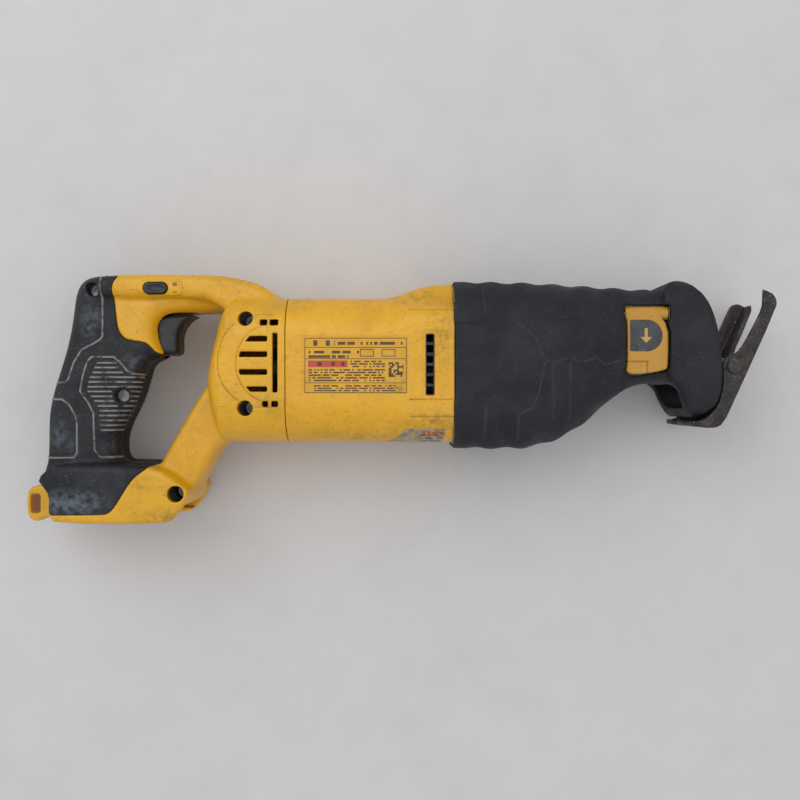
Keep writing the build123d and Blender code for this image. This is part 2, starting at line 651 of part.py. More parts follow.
def release_lever():
    z1 = LEVER_TOP
    body = prism(LEVER, z1 - LEVER_THICK, z1 - 0.9, 2.5)
    for back, drop in [(0.25, 0.4), (0.9, 0.0)]:
        cap = offset(soft_outline(LEVER, 2.5), amount=-back)
        body += Pos(0, 0, z1 - 1.2) * extrude(cap, amount=1.2 - drop)
    body += rod_x(132, 157.5, LEVER_PIN_Y, LEVER_PIN_Z, 4.0)
    body -= rod_x(120, 170, LEVER_PIN_Y, LEVER_PIN_Z, 1.55)
    return body - lever_label()


def lever_label():
    """D shaped badge let into the lever."""
    flat = prism([(134.8, 28.5), (145, 28.5), (145, 46.8), (134.8, 46.8)], LEVER_TOP - 0.5, LEVER_TOP, 0.8)
    round_end = rod_z(144.6, 37.65, LEVER_TOP - 0.5, LEVER_TOP, 9.15)
    return flat + (round_end & box(144, 160, 20, 60, 60, 80))


def lever_pin():
    return rod_x(123.2, 160, LEVER_PIN_Y, LEVER_PIN_Z, 1.5)


def lever_spring():
    coils = [ring_x(127.5 + 1.0 * i, 128.2 + 1.0 * i, LEVER_PIN_Y, LEVER_PIN_Z, 2.9, 2.0) for i in range(4)]
    return Compound(coils)


# ---- shoe -------------------------------------------------------------------------------
def shoe():
    """Pressed fork: a slotted front plate with two side flanges and a heel."""
    solid = prism(SHOE_SIDE, MID - SHOE_HALF, MID + SHOE_HALF, 3)
    front = offset(soft_outline(SHOE_SIDE, 3), amount=-SHOE_SHEET)
    lean = 24.4
    back = Pos(196.8, 0, MID) * Rot(0, 0, 90 - lean) * Pos(20, 3 + 30, 0) * Box(260, 60, 2 * (SHOE_HALF - SHOE_SHEET))
    # hollow behind the front plate, above the heel
    back &= box(100, 300, -11.6, 200, -50, 200)
    solid -= back
    slot = Pos(206.5, 24, MID) * Rot(0, 0, -lean) * Pos(0, 40, 0) * Box(60, 80, 2 * SHOE_SLOT_HALF)
    slot &= box(150, 300, 24, 200, 0, 100)
    solid -= slot
    return solid - rod_z(SHOE_PIVOT[0], SHOE_PIVOT[1], 0, 100, 3.08)


def shoe_pivot_pin():
    x, y = SHOE_PIVOT
    pin = rod_z(x, y, MID - SHOE_HALF - 1.2, MID + SHOE_HALF + 1.2, 3.0)
    for s in (1, -1):
        pin += rod_z(x, y, MID + s * (SHOE_HALF + 1.2) - 0.8, MID + s * (SHOE_HALF + 1.2) + 0.8, 4.4)
    return pin


# ---- assemble and write -----------------------------------------------------------------
FORM = lower(handle_form(0))
SKIN = (FORM - lower(handle_form(OVERMOULD, False))) & rubber_zone()
HALF = handle_half(FORM, SKIN)
SKIN -= oblong(BUTTON_LONG + 2 * BUTTON_PLAY, BUTTON_WIDE + 2 * BUTTON_PLAY, -10, 100)
SKIN -= trigger_opening()
SKIN -= battery_pocket()
CASE = gear_case()
GASKET = gear_case_gasket(CASE)
CASE -= box(31, 150, -100, 100, MID - 0.3, MID + 0.3)

NODES = {
    "handle_shell_right": bore_right(flip(HALF)),
    "handle_shell_left": bore_left(HALF),
    "grip_overmould_right": bore_grip(flip(SKIN)),
    "grip_overmould_left": SKIN,
    "handle_screws": handle_screws(),
    "tether_loop": tether_loop(),
    "trigger": trigger(),
    "lock_off_button": lock_off_button(),
    "switch_module": switch_module(),
    "terminal_block": terminal_block(),
    "battery_contacts": battery_contacts(),
    "supply_leads": Compound([
        lead(MID + 5, SUPPLY_LEAD),
        lead(MID - 5, SUPPLY_LEAD)]),
    "motor_leads": Compound([
        lead(MID + 7, MOTOR_LEAD),
        lead(MID - 7, MOTOR_LEAD)]),
    "motor_housing": motor_housing(),
    "rating_label": rating_label(),
    "warning_sticker": warning_sticker(),
    "exhaust_louvres": exhaust_louvres(),
    "motor_can": motor_can(),
    "field_magnets": field_magnets(),
    "armature_shaft": motor_shaft(),
    "armature_core": armature_core(),
    "armature_windings": armature_windings(),
    "commutator": commutator(),
    "cooling_fan": cooling_fan(),
    "motor_pinion": motor_pinion(),
    "front_end_bell": front_end_bell(),
    "rear_end_bell": rear_end_bell(),
    "front_motor_bearing": bearing(31, 38),
    "rear_motor_bearing": bearing(-76, -69),
    "brush_holders": brush_holders(),
    "carbon_brushes": carbon_brushes(),
    "brush_springs": brush_springs(),
    "gear_case_right": CASE & box(0, 400, -200, 200, MID, 200),
    "gear_case_left": CASE & box(0, 400, -200, 200, -100, MID),
    "gear_case_gasket": GASKET,
    "gear_case_screws": long_screws(),
    "nose_boot": nose_boot(),
    "drive_gear": drive_gear(),
    "crank_pin": crank_pin(),
    "crank_roller": crank_roller(),
    "gear_bearings": gear_bearings(),
    "plunger": plunger(),
    "rear_plunger_bushing": plunger_bushing(115, 127),
    "front_plunger_bushing": plunger_bushing(130, 145),
    "plunger_seal": plunger_seal(),
    "blade_clamp_body": blade_clamp_body(),
    "clamp_collar": clamp_collar(),
    "clamp_lock_pin": clamp_lock_pin(),
    "clamp_snap_ring": clamp_snap_ring(),
    "release_lever": release_lever(),
    "lever_label": lever_label(),
    "lever_pin": lever_pin(),
    "lever_spring": lever_spring(),
    "shoe": shoe(),
    "shoe_pivot_pin": shoe_pivot_pin(),
}

for name, shape in NODES.items():
    export_step(Pos(*SHIFT) * shape, "parts/" + name + ".step")
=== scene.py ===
"""Cordless reciprocating saw: the visible pieces, their materials and the table they lie on.

Lengths in the builders are millimetres in the drawing frame: +X to the nose, +Y to the top of the
tool, +Z out of its right side, parting plane z = MID.  mesh_piece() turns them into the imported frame.
"""

import json
import math

import bpy
import numpy as np
from bpy.props import FloatProperty, FloatVectorProperty, PointerProperty
from bpy.types import Operator, Panel, PropertyGroup
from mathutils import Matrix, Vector


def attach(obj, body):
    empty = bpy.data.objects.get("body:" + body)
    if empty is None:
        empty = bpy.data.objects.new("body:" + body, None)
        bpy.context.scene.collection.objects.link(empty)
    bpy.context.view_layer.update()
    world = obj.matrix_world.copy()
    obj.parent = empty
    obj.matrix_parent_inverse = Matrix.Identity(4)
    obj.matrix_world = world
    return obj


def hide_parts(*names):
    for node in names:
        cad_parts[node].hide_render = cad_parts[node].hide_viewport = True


bl_info = {
    "name": "Reciprocating saw",
    "version": (1, 0, 0),
    "blender": (4, 5, 0),
    "location": "3D View > Sidebar > Saw",
    "description": "Builds the casings, rubber, steelwork and finishes of a reciprocating saw",
    "category": "Object",
}

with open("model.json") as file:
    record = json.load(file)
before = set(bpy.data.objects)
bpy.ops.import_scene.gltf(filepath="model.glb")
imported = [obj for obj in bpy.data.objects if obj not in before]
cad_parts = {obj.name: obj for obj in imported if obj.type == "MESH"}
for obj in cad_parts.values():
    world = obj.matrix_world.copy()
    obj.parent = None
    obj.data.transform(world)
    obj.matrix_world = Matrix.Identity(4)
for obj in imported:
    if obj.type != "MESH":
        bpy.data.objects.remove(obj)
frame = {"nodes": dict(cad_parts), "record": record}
NODES = frame["nodes"]
SLOT_OF = {row["node"]: row["material_slot"] for row in frame["record"]["subparts"]}
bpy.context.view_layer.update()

MM = 0.001
MID = 42.0
SHIFT = np.array([3.25, -0.5, 0.0])

# ---- outlines shared by the pieces -------------------------------------------------------
REAR_BLOCK = [(-40, 64), (-92, 62), (-103, 55), (-107, 44), (-108, 38), (-110, 31), (-112, 22),
              (-114, 10), (-110, -14), (-102, -27), (-40, -29)]
TOP_BAR = [(-189, 74.8), (-118, 74.6), (-108, 74), (-97, 72.4), (-87, 70), (-79, 66), (-70, 58),
           (-73, 44), (-96, 44), (-103, 52), (-111, 57.5), (-122, 60.8), (-189, 60.8)]
GRIP = [(-172, 75), (-186.5, 75), (-193.5, 71.5), (-197, 64), (-198.5, 52), (-200.5, 39), (-203.5, 27),
        (-207.5, 14.5), (-211, 3), (-213.5, -10), (-213.5, -34), (-215, -41), (-217.5, -48),
        (-206, -58), (-172, -58), (-155, -46), (-148, -40), (-164, -39.5), (-170, -35), (-170.5, -24.5),
        (-168, -15), (-162.5, -5), (-158.5, 5), (-155.5, 16), (-153, 23), (-141.5, 27), (-145, 33),
        (-146.5, 40), (-146.5, 46), (-141, 52.5), (-110, 53.5), (-104, 56), (-104, 66), (-168, 66)]
STRUT = [(-108, 16), (-116.5, 10), (-145.5, -40), (-150, -52), (-146, -66), (-130, -62), (-118, -44),
         (-112.5, -33), (-107, -26), (-98, -22), (-92, 2)]
FOOT = [(-209, -46), (-206, -51), (-204.5, -56), (-205.5, -68), (-201, -72.5), (-138, -72.5),
        (-133, -70), (-126.5, -62), (-123, -54), (-130, -47.5), (-143, -39.5), (-160, -38.5),
        (-200, -38.5)]
FOOT_TOP = [(-212, -46.5), (-208.5, -51), (-205, -56), (-205.5, -68), (-201, -72.5), (-138, -72.5),
            (-132.5, -69.5), (-126.5, -62), (-122.5, -54), (-130, -47.5), (-143, -39.5), (-160, -38.5),
            (-204, -38.5)]
RUBBER_EDGE = [(-168.5, 90), (-168.5, 73), (-171, 70), (-172, 64), (-170.5, 50), (-169.5, 42),
               (-166, 37), (-162, 35.6), (-153, 34.5), (-149.5, 31), (-147, 28), (-136, 24),
               (-136, -20), (-150, -37), (-146, -39), (-155, -45), (-160, -52), (-166, -62),
               (-169.5, -66), (-174, -67.2), (-245, -67.2), (-245, 90)]
TRIGGER = [(-150, 50.5), (-140, 52), (-123.5, 51.8), (-129, 49.5), (-133.4, 44.5), (-135.4, 38),
           (-134.8, 31), (-136.2, 26.8), (-150, 27.8)]
BELL = [(153, 62), (156, 67), (160, 70.2), (165, 71), (170, 69.3), (174.5, 65.5), (180, 58), (183, 50),
        (185.5, 40), (187.3, 28), (188, 17), (187.3, 7), (185.5, 0), (182, -6), (178, -9.6),
        (172.5, -11.5), (169, -5), (166, 0), (163.5, 7), (156, 12)]
BOOT_STATIONS = [(31, -29, 70.5, 42.0, 24), (75, -29, 69.6, 42.0, 24), (95, -23.5, 68.6, 41.0, 24),
                 (110, -14, 67.6, 39.0, 22), (122, -3, 67, 35.5, 20), (135, 6.5, 66.5, 32.0, 18),
                 (146, 10, 66, 30.0, 17), (160, 10.3, 65.5, 29.0, 17), (175, 10.3, 65.5, 29.0, 17)]
LEVER = [(132, 14), (156, 17), (157.5, 20), (157.5, 51), (132, 51), (133.2, 44), (133.2, 22)]
SHOE_LEAN = math.radians(24.4)
SHOE_FOOT_X = 196.8
SHOE_PIVOT = (196.5, 20)
LEVER_HINGE_YZ = (51, 69)
WAVE_PITCH = 18.6
SHOE_SIDE = [(196.8, 0), (221.5, 54.5), (221.5, 60), (217.6, 65.8), (213.6, 67), (213.4, 60),
             (213, 54), (208.6, 45), (202.3, 33), (198, 27.5), (190, 24), (189.3, 16), (190, 12.5),
             (188.9, 4), (187, -2.5), (182.5, -9), (176, -12.8), (170, -12.4), (168.6, -6.5), (167, -6.5),
             (166.4, -12), (169, -15), (184, -17.2), (190, -14.5)]
HANDLE_SCREWS = [(-90.0, 47.0, 4.3), (-90.0, -5.0, 4.5), (-131.0, -55.0, 4.8),
                 (-167.5, 2.5, 4.3), (-184.0, 66.0, 4.3)]
LONG_SCREW_YZ = [(47.0, 33.5), (-7.5, 33.5), (47.0, -33.5), (-7.5, -33.5)]


# ---- distance fields ---------------------------------------------------------------------
class Field:
    """Sample points of a box; X, Y and Z broadcast against each other."""

    def __init__(self, x0, x1, y0, y1, z0, z1, step):
        self.step = step
        self.origin = np.array([x0, y0, z0])
        self.X = np.arange(x0, x1 + step, step, dtype=np.float32)[:, None, None]
        self.Y = np.arange(y0, y1 + step, step, dtype=np.float32)[None, :, None]
        self.Z = np.arange(z0, z1 + step, step, dtype=np.float32)[None, None, :]
        self.A = np.abs(self.Z - MID)


def soften(points, rounds=2):
    """Corner cutting: each round replaces a corner by two points nearer the middle of its edges."""
    p = np.array(points, float)
    for _ in range(rounds):
        q = np.roll(p, -1, axis=0)
        p = np.stack([0.75 * p + 0.25 * q, 0.25 * p + 0.75 * q], 1).reshape(-1, 2)
    return p


def plan(field, points, rounds=2):
    """Signed distance in the XY plane to a closed outline, negative inside."""
    p = soften(points, rounds)
    X, Y = field.X[:, :, 0], field.Y[:, :, 0]
    best = np.full((X.shape[0], Y.shape[1]), 1e12, np.float32)
    inside = np.zeros(best.shape, bool)
    for (ax, ay), (bx, by) in zip(p, np.roll(p, -1, axis=0)):
        ex, ey = bx - ax, by - ay
        t = np.clip(((X - ax) * ex + (Y - ay) * ey) / (ex * ex + ey * ey), 0, 1)
        best = np.minimum(best, (X - ax - ex * t) ** 2 + (Y - ay - ey * t) ** 2)
        if ay != by:
            inside ^= ((ay > Y) != (by > Y)) & (X < (bx - ax) * (Y - ay) / (by - ay) + ax)
    d = np.sqrt(best)
    return np.where(inside, -d, d)[:, :, None]


def crown(d, a, half, r, rz=None):
    """Outline distance d thickened to a half width, with a rounded rim of radius r."""
    rz = rz or r
    qz = (a - half) * (r / rz) + r
    qd = d + r
    return np.minimum(np.maximum(qd, qz), 0) + np.sqrt(np.maximum(qd, 0) ** 2 + np.maximum(qz, 0) ** 2) - r


def rounded_rect(u, v, hu, hv, r):
    qu, qv = np.abs(u) - hu + r, np.abs(v) - hv + r
    return np.minimum(np.maximum(qu, qv), 0) + np.sqrt(np.maximum(qu, 0) ** 2 + np.maximum(qv, 0) ** 2) - r


def melt(a, b, k):
    """Union with a blend of size k."""
    h = np.clip(0.5 + 0.5 * (b - a) / k, 0, 1)
    return b + (a - b) * h - k * h * (1 - h)


def carve(a, b, k=0.6):
    """Shape a less shape b, with the new edge eased by k."""
    return -melt(-a, b, k)


def well(field, x, y, r):
    return np.sqrt((field.X - x) ** 2 + (field.Y - y) ** 2) - r


def block(field, x0, x1, y0, y1, z0, z1, r=0.0):
    q = [np.abs(field.X - (x0 + x1) / 2) - (x1 - x0) / 2 + r,
         np.abs(field.Y - (y0 + y1) / 2) - (y1 - y0) / 2 + r,
         np.abs(field.Z - (z0 + z1) / 2) - (z1 - z0) / 2 + r]
    far = np.sqrt(np.maximum(q[0], 0) ** 2 + np.maximum(q[1], 0) ** 2 + np.maximum(q[2], 0) ** 2)
    return far + np.minimum(np.maximum(np.maximum(q[0], q[1]), q[2]), 0) - r


def step_up(d, w=0.5):
    """1 inside an outline distance, 0 outside, with a soft edge of width w."""
    return np.clip(0.5 - d / w, 0, 1)


def nets(field, f):
    """Vertices and quads of the zero surface of f (surface nets)."""
    shape = (field.X.shape[0], field.Y.shape[1], field.Z.shape[2])
    f = np.ascontiguousarray(np.broadcast_to(f, shape), np.float32)
    f = f.copy()
    f[[0, -1]] = np.maximum(f[[0, -1]], 1e-3)
    f[:, [0, -1]] = np.maximum(f[:, [0, -1]], 1e-3)
    f[:, :, [0, -1]] = np.maximum(f[:, :, [0, -1]], 1e-3)
    s = f < 0
    n = tuple(k - 1 for k in f.shape)
    corners = [(i, j, k) for i in (0, 1) for j in (0, 1) for k in (0, 1)]
    view = [s[i:i + n[0], j:j + n[1], k:k + n[2]] for i, j, k in corners]
    count = np.zeros(n, np.int8)
    for v in view:
        count += v
    mixed = (count > 0) & (count < 8)
    cells = np.argwhere(mixed)
    index = np.full(n, -1, np.int32)
    index[mixed] = np.arange(len(cells))
    values = np.stack([f[cells[:, 0] + i, cells[:, 1] + j, cells[:, 2] + k] for i, j, k in corners], 1)
    total = np.zeros((len(cells), 3))
    hits = np.zeros(len(cells))
    for a in range(8):
        for b in range(a + 1, 8):
            ca, cb = np.array(corners[a]), np.array(corners[b])
            if np.abs(ca - cb).sum() != 1:
                continue
            va, vb = values[:, a], values[:, b]
            cross = (va < 0) != (vb < 0)
            t = np.where(cross, va / np.where(cross, va - vb, 1), 0)
            total += cross[:, None] * (ca + t[:, None] * (cb - ca))
            hits += cross
    verts = (cells + total / hits[:, None]) * field.step + field.origin
    quads = []
    for axis in range(3):
        inner = [slice(1, m - 1) for m in s.shape]
        inner[axis] = slice(0, s.shape[axis] - 1)
        a = s[tuple(inner)]
        inner[axis] = slice(1, s.shape[axis])
        b = s[tuple(inner)]
        at = np.argwhere(a != b)
        for i in range(3):
            if i != axis:
                at[:, i] += 1
        u, v = [(1, 2), (2, 0), (0, 1)][axis]
        ring = []
        for du, dv in [(-1, -1), (0, -1), (0, 0), (-1, 0)]:
            c = at.copy()
            c[:, u] += du
            c[:, v] += dv
            ring.append(index[c[:, 0], c[:, 1], c[:, 2]])
        ring = np.stack(ring, 1)
        starts_inside = s[at[:, 0], at[:, 1], at[:, 2]]
        ring[~starts_inside] = ring[~starts_inside][:, ::-1]
        quads.append(ring)
    return verts, np.concatenate(quads)


def line_gap(X, Y, lines):
    """Distance in the XY plane to the nearest of some open polylines."""
    best = None
    for line in lines:
        for (ax, ay), (bx, by) in zip(line, line[1:]):
            ex, ey = bx - ax, by - ay
            t = np.clip(((X - ax) * ex + (Y - ay) * ey) / (ex * ex + ey * ey), 0, 1)
            d = np.hypot(X - ax - ex * t, Y - ay - ey * t)
            best = d if best is None else np.minimum(best, d)
    return best


def mark_worn_lit_lines(ob, lines, width):
    """Vertex value "rubbed": 1 on the raised lines, where handling has worn the rubber pale and where a
    painted highlight lies.
    """
    co = np.empty(len(ob.data.vertices) * 3, np.float32)
    ob.data.vertices.foreach_get("co", co)
    co = co.reshape(-1, 3) / MM - SHIFT
    near = np.clip(1.25 - line_gap(co[:, 0], co[:, 1], lines) / width, 0, 1) * (np.abs(co[:, 2] - MID) > 8)
    ob.data.attributes.new("rubbed", "FLOAT", "POINT").data.foreach_set("value", near.astype(np.float32))


def mesh_piece(name, verts, quads):
    """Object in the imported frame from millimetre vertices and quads."""
    me = bpy.data.meshes.new(name)
    me.vertices.add(len(verts))
    me.vertices.foreach_set("co", ((verts + SHIFT) * MM).astype(np.float32).ravel())
    me.loops.add(quads.size)
    me.loops.foreach_set("vertex_index", quads.astype(np.int32).ravel())
    me.polygons.add(len(quads))
    me.polygons.foreach_set("loop_start", np.arange(0, quads.size, 4, dtype=np.int32))
    me.polygons.foreach_set("loop_total", np.full(len(quads), 4, np.int32))
    me.polygons.foreach_set("use_smooth", np.ones(len(quads), bool))
    me.update(calc_edges=True)
    me.validate()
    ob = bpy.data.objects.new(name, me)
    bpy.context.scene.collection.objects.link(ob)
    return ob


def moulded(name, net, body, node):
    """A mesh piece that rides on a body and stands for one node, whose CAD part it hides."""
    ob = mesh_piece(name, *net)
    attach(ob, body)
    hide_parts(node)
    return ob


# ---- handle ------------------------------------------------------------------------------
def handle_form(g):
    """Outer form of the whole handle, blended as one moulding."""
    section = rounded_rect(g.Y - 17.75, g.A, 42.65, 42.0, 24.0)
    form = np.maximum(section, crown(plan(g, REAR_BLOCK), g.A, 42.0, 10, 13))
    form = melt(form, crown(plan(g, TOP_BAR), g.A, 25.0, 5.5, 5.5), 4)
    form = melt(form, crown(plan(g, STRUT), g.A, 20.0, 5, 5), 4)
    form = melt(form, crown(plan(g, GRIP, 3), g.A, 19.5, 11, 11), 3)
    return melt(form, crown(plan(g, FOOT_TOP, 1), g.A, 38.0, 3.5, 3.5), 4)


def grip_lines():
    """Raised lines of the grip: the ribs, and the borders of its pads."""
    pad = [(-165, -34.5), (-180, -34.5), (-183.3, -30), (-184, -8), (-187, -2), (-192, 5), (-190, 16),
           (-187.5, 23), (-185, 25.6), (-172, 25.6), (-168, 22.5), (-164, 17.5), (-160, 15.4), (-153, 15)]
    upper = [(-178.5, 90), (-178.5, 38), (-180, 36), (-185, 33), (-191, 30), (-196, 22), (-199, 12.6),
             (-201, 10.3), (-225, 10.3)]
    lower_pad = [(-230, 0.8), (-203, 0.2), (-198.5, -3), (-194.6, -10), (-193.8, -14), (-193.8, -32),
                 (-195.5, -34.8), (-230, -35)]
    rows = [(22, -181.5, -170.5), (19.2, -183, -169), (16.3, -184, -166.5), (13.4, -185.5, -156),
            (10.6, -186.5, -156),
            (7.7, -187, -157), (4.9, -187, -173.5), (4.9, -162, -157.5), (2, -185, -173), (2, -162, -158.5),
            (-0.9, -183, -172), (-0.9, -162.5, -159), (-3.8, -181, -159.5), (-6.7, -180, -160.5),
            (-9.6, -180, -162), (-12.5, -179.5, -163), (-15.4, -179.5, -164.5), (-18.3, -179.5, -165)]
    ribs = [[(x0, y), (x1, y)] for y, x0, x1 in rows]
    return [pad, upper, lower_pad], ribs


def grip_relief(g):
    """Height of the grip's pads, borders and ribs above its skin, over the plan."""
    borders, ribs = grip_lines()
    X, Y = g.X[:, :, 0], g.Y[:, :, 0]
    height = 0.45 * np.clip(1.2 - line_gap(X, Y, borders) / 0.6, 0, 1)
    height = np.maximum(height, 0.6 * np.clip(1.2 - line_gap(X, Y, ribs) / 0.6, 0, 1))
    return height[:, :, None]


def handle_vents(g):
    """Distance to the union of the cooling slots of one side; four of them end on the round grille."""
    grille = well(g, -71.5, 20.8, 22.3)
    slots = [(-98, -77, 33.6, 36.8), (-98, -77, 24.6, 27.8), (-98, -77, 14.4, 17.6), (-98, -77, 4.6, 7.6),
             (-74, -71.2, 4.2, 38.5), (-81.5, -77.2, 43.0, 46.4), (-75.8, -70.8, 43.0, 46.4),
             (-80, -76.6, -4.2, -0.9), (-74.6, -70.8, -4.2, -0.9)]
    d = None
    for x0, x1, y0, y1 in slots:
        hole = rounded_rect(g.X - (x0 + x1) / 2, g.Y - (y0 + y1) / 2, (x1 - x0) / 2, (y1 - y0) / 2, 0.5)
        if x0 == -98:
            hole = np.maximum(hole, grille)
        d = hole if d is None else np.minimum(d, hole)
    return np.maximum(d, 26 - g.A)


def handle_relief(g):
    """Low steps on the sides of the handle: the round boss, the grille's rim, the button's platform."""
    boss = np.maximum(np.abs(well(g, -79, 22.5, 27.3)) - 0.45, g.X + 74)
    rim = np.maximum(np.abs(well(g, -71.5, 20.8, 23.6)) - 0.4, g.X + 77)
    back = np.maximum(well(g, -71.5, 20.8, 23.6), g.X + 77)
    button = plan(g, [(-156.5, 62.4), (-133, 61.6), (-129.5, 63), (-129.5, 69.8),
                      (-133, 70.8), (-156.5, 70.8)], 1)
    relief = 0.8 * step_up(button, 0.7) * (g.A > 20) - 0.55 * step_up(np.minimum(boss, rim), 0.4) * (g.A > 30)
    return relief + 0.35 * step_up(back, 0.6) * (g.A > 30)


def handle_pieces(side, g, form, zone):
    """Clamshell half and its rubber skin for side = +1 (right) or -1 (left)."""
    half = -side * (g.Z - MID)
    body = form - handle_relief(g)
    cavity = form + 3.2
    cavity = np.maximum(cavity, -(g.Y + 57.0))
    shell = np.maximum(body, -cavity)
    shell = np.maximum(shell, np.minimum(-zone + 0.12, form + 1.6))
    rear = rounded_rect(g.Y - 17.75, g.A, 39.2, 38.5, 20.5)
    shell = np.maximum(shell, -np.maximum(rear, -(g.X + 78)))
    shell = np.maximum(shell, g.X + 67.0)
    # battery pocket with its two lips
    pocket = block(g, -196, -90, -69.5, -62, 11, 73, 0.5)
    pocket = np.minimum(pocket, block(g, -196, -90, -90, -69, 16.5, 67.5, 0.5))
    finger = block(g, -170, -119, 25.8, 53, MID - 11.5, MID + 11.5, 0.5)
    slot = rounded_rect(g.X + 145.5, g.Y - 66.2, 7.35, 3.55, 3.5)
    for x, y, r in HANDLE_SCREWS:
        tower = well(g, x, y, 6.0)
        shell = np.minimum(shell, np.maximum(tower, form + 0.3))
    for x, y, r in HANDLE_SCREWS:
        if side > 0:
            shell = carve(shell, np.maximum(well(g, x, y, r), MID + 9 - g.Z), 0.5)
            shell = np.maximum(shell, -well(g, x, y, 2.3))
        else:
            shell = np.maximum(shell, -np.maximum(well(g, x, y, 2.1), MID - 12 - g.Z))
    for cut in (pocket, finger, slot):
        shell = carve(shell, cut, 0.4)
    shell = carve(shell, handle_vents(g), 0.5)
    shell = np.maximum(shell, half)
    skin = form - grip_relief(g) * (g.A > 4)
    skin = np.maximum(np.maximum(skin, -(form + 1.5)), zone + 0.12)
    for cut in (pocket, finger, slot):
        skin = carve(skin, cut, 0.3)
    if side > 0:
        for x, y, r in HANDLE_SCREWS[3:]:
            skin = carve(skin, well(g, x, y, 4.5), 0.5)
            lining = np.maximum(well(g, x, y, 5.2), np.maximum(form + 0.4, MID + 9.2 - g.Z))
            skin = np.minimum(skin, np.maximum(lining, -well(g, x, y, 3.9)))
    skin = np.maximum(skin, half)
    return nets(g, shell), nets(g, skin)


def build_handle(fine):
    out = {}
    for side, name in ((1, "right"), (-1, "left")):
        z0, z1 = (MID - 1.5, 2 * MID + 1.5) if side > 0 else (-1.5, MID + 1.5)
        g = Field(-222, -64, -76, 79, z0, z1, fine if side > 0 else fine * 1.3)
        form = handle_form(g)
        zone = plan(g, RUBBER_EDGE, 2)
        shell, skin = handle_pieces(side, g, form, zone)
        a = mesh_piece("handle_shell_" + name + "_form", *shell)
        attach(a, "tool_body")
        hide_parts("handle_shell_" + name)
        b = mesh_piece("grip_overmould_" + name + "_form", *skin)
        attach(b, "tool_body")
        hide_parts("grip_overmould_" + name)
        borders, ribs = grip_lines()
        # Raised lines of the grip, marked for pale wear and a painted highlight
        mark_worn_lit_lines(b, borders + ribs, 0.55)
        out[name] = (a, b)
    return out


def build_tether_loop():
    g = Field(-231, -202, -76, -50, MID - 11, MID + 11, 0.35)
    ring = crown(plan(g, [(-228, -54.5), (-222, -52), (-203, -52), (-203, -71), (-218.5, -71.5),
                          (-219.5, -74), (-224.5, -74), (-228, -70)], 2), g.A, 9.0, 2.2)
    eye = rounded_rect(g.X + 222.45, g.Y + 63.2, 2.85, 5.8, 1.6)
    ring = carve(ring, eye, 1.2)
    foot = crown(plan(g, FOOT), g.A, 38.0, 4, 4)
    ring = np.maximum(ring, -(foot - 0.1))
    return moulded("tether_loop_form", nets(g, ring), "tool_body", "tether_loop")


def build_lock_button():
    """Lock-off button with a thumb dish in each end face."""
    g = Field(-153.5, -137.5, 62, 70.5, MID - 24.5, MID + 28, 0.3)
    body = crown(rounded_rect(g.X + 145.5, g.Y - 66.2, 7.0, 3.2, 3.2), np.abs(g.Z - MID - 1.8), 24.8, 0.7)
    dish = np.hypot(np.hypot((g.X + 145.5) * 0.45, g.Y - 66.2), np.abs(g.Z - MID - 1.8) - 26.9) - 3.2
    ob = mesh_piece("lock_off_button_form", *nets(g, carve(body, dish, 0.4)))
    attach(ob, "lock_button_body")
    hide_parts("lock_off_button")
    return ob


def build_trigger():
    g = Field(-159, -121, 24, 54.5, MID - 12.5, MID + 12.5, 0.4)
    body = crown(plan(g, TRIGGER, 2), g.A, 11.0, 3.5, 4.5)
    stem = np.maximum(np.sqrt((g.Y - 39) ** 2 + (g.Z - MID) ** 2) - 3.0, np.abs(g.X + 152.5) - 5.0)
    body = np.minimum(body, stem)
    return moulded("trigger_form", nets(g, body), "trigger_body", "trigger")


# ---- motor housing -----------------------------------------------------------------------
def housing_form(g):
    """Outer form of the motor housing, before its rim, slots and bores."""
    grow = np.clip((g.X + 20) / 50, 0, 1) * 0.9
    outer = rounded_rect(g.Y - 17.75, g.A, 42.65 + grow * 0.6, 42.0, 24.0)
    bulge = crown(plan(g, [(-8, 52), (-4, 60), (2, 63.4), (9, 66.5), (20, 68.8), (40, 69.6), (40, 52)], 2),
                  g.A, 26.0, 9, 9)
    outer = melt(outer, bulge, 6)
    outer = melt(outer, np.maximum(np.sqrt((g.Y - 47) ** 2 + (g.A - 33.8) ** 2) - 6.8, 3 - g.X), 4)
    outer = melt(outer, np.maximum(np.sqrt((g.Y + 7) ** 2 + (g.A - 34.0) ** 2) - 7.2, 1 - g.X), 4)
    return np.maximum(outer, g.A - 42.0)


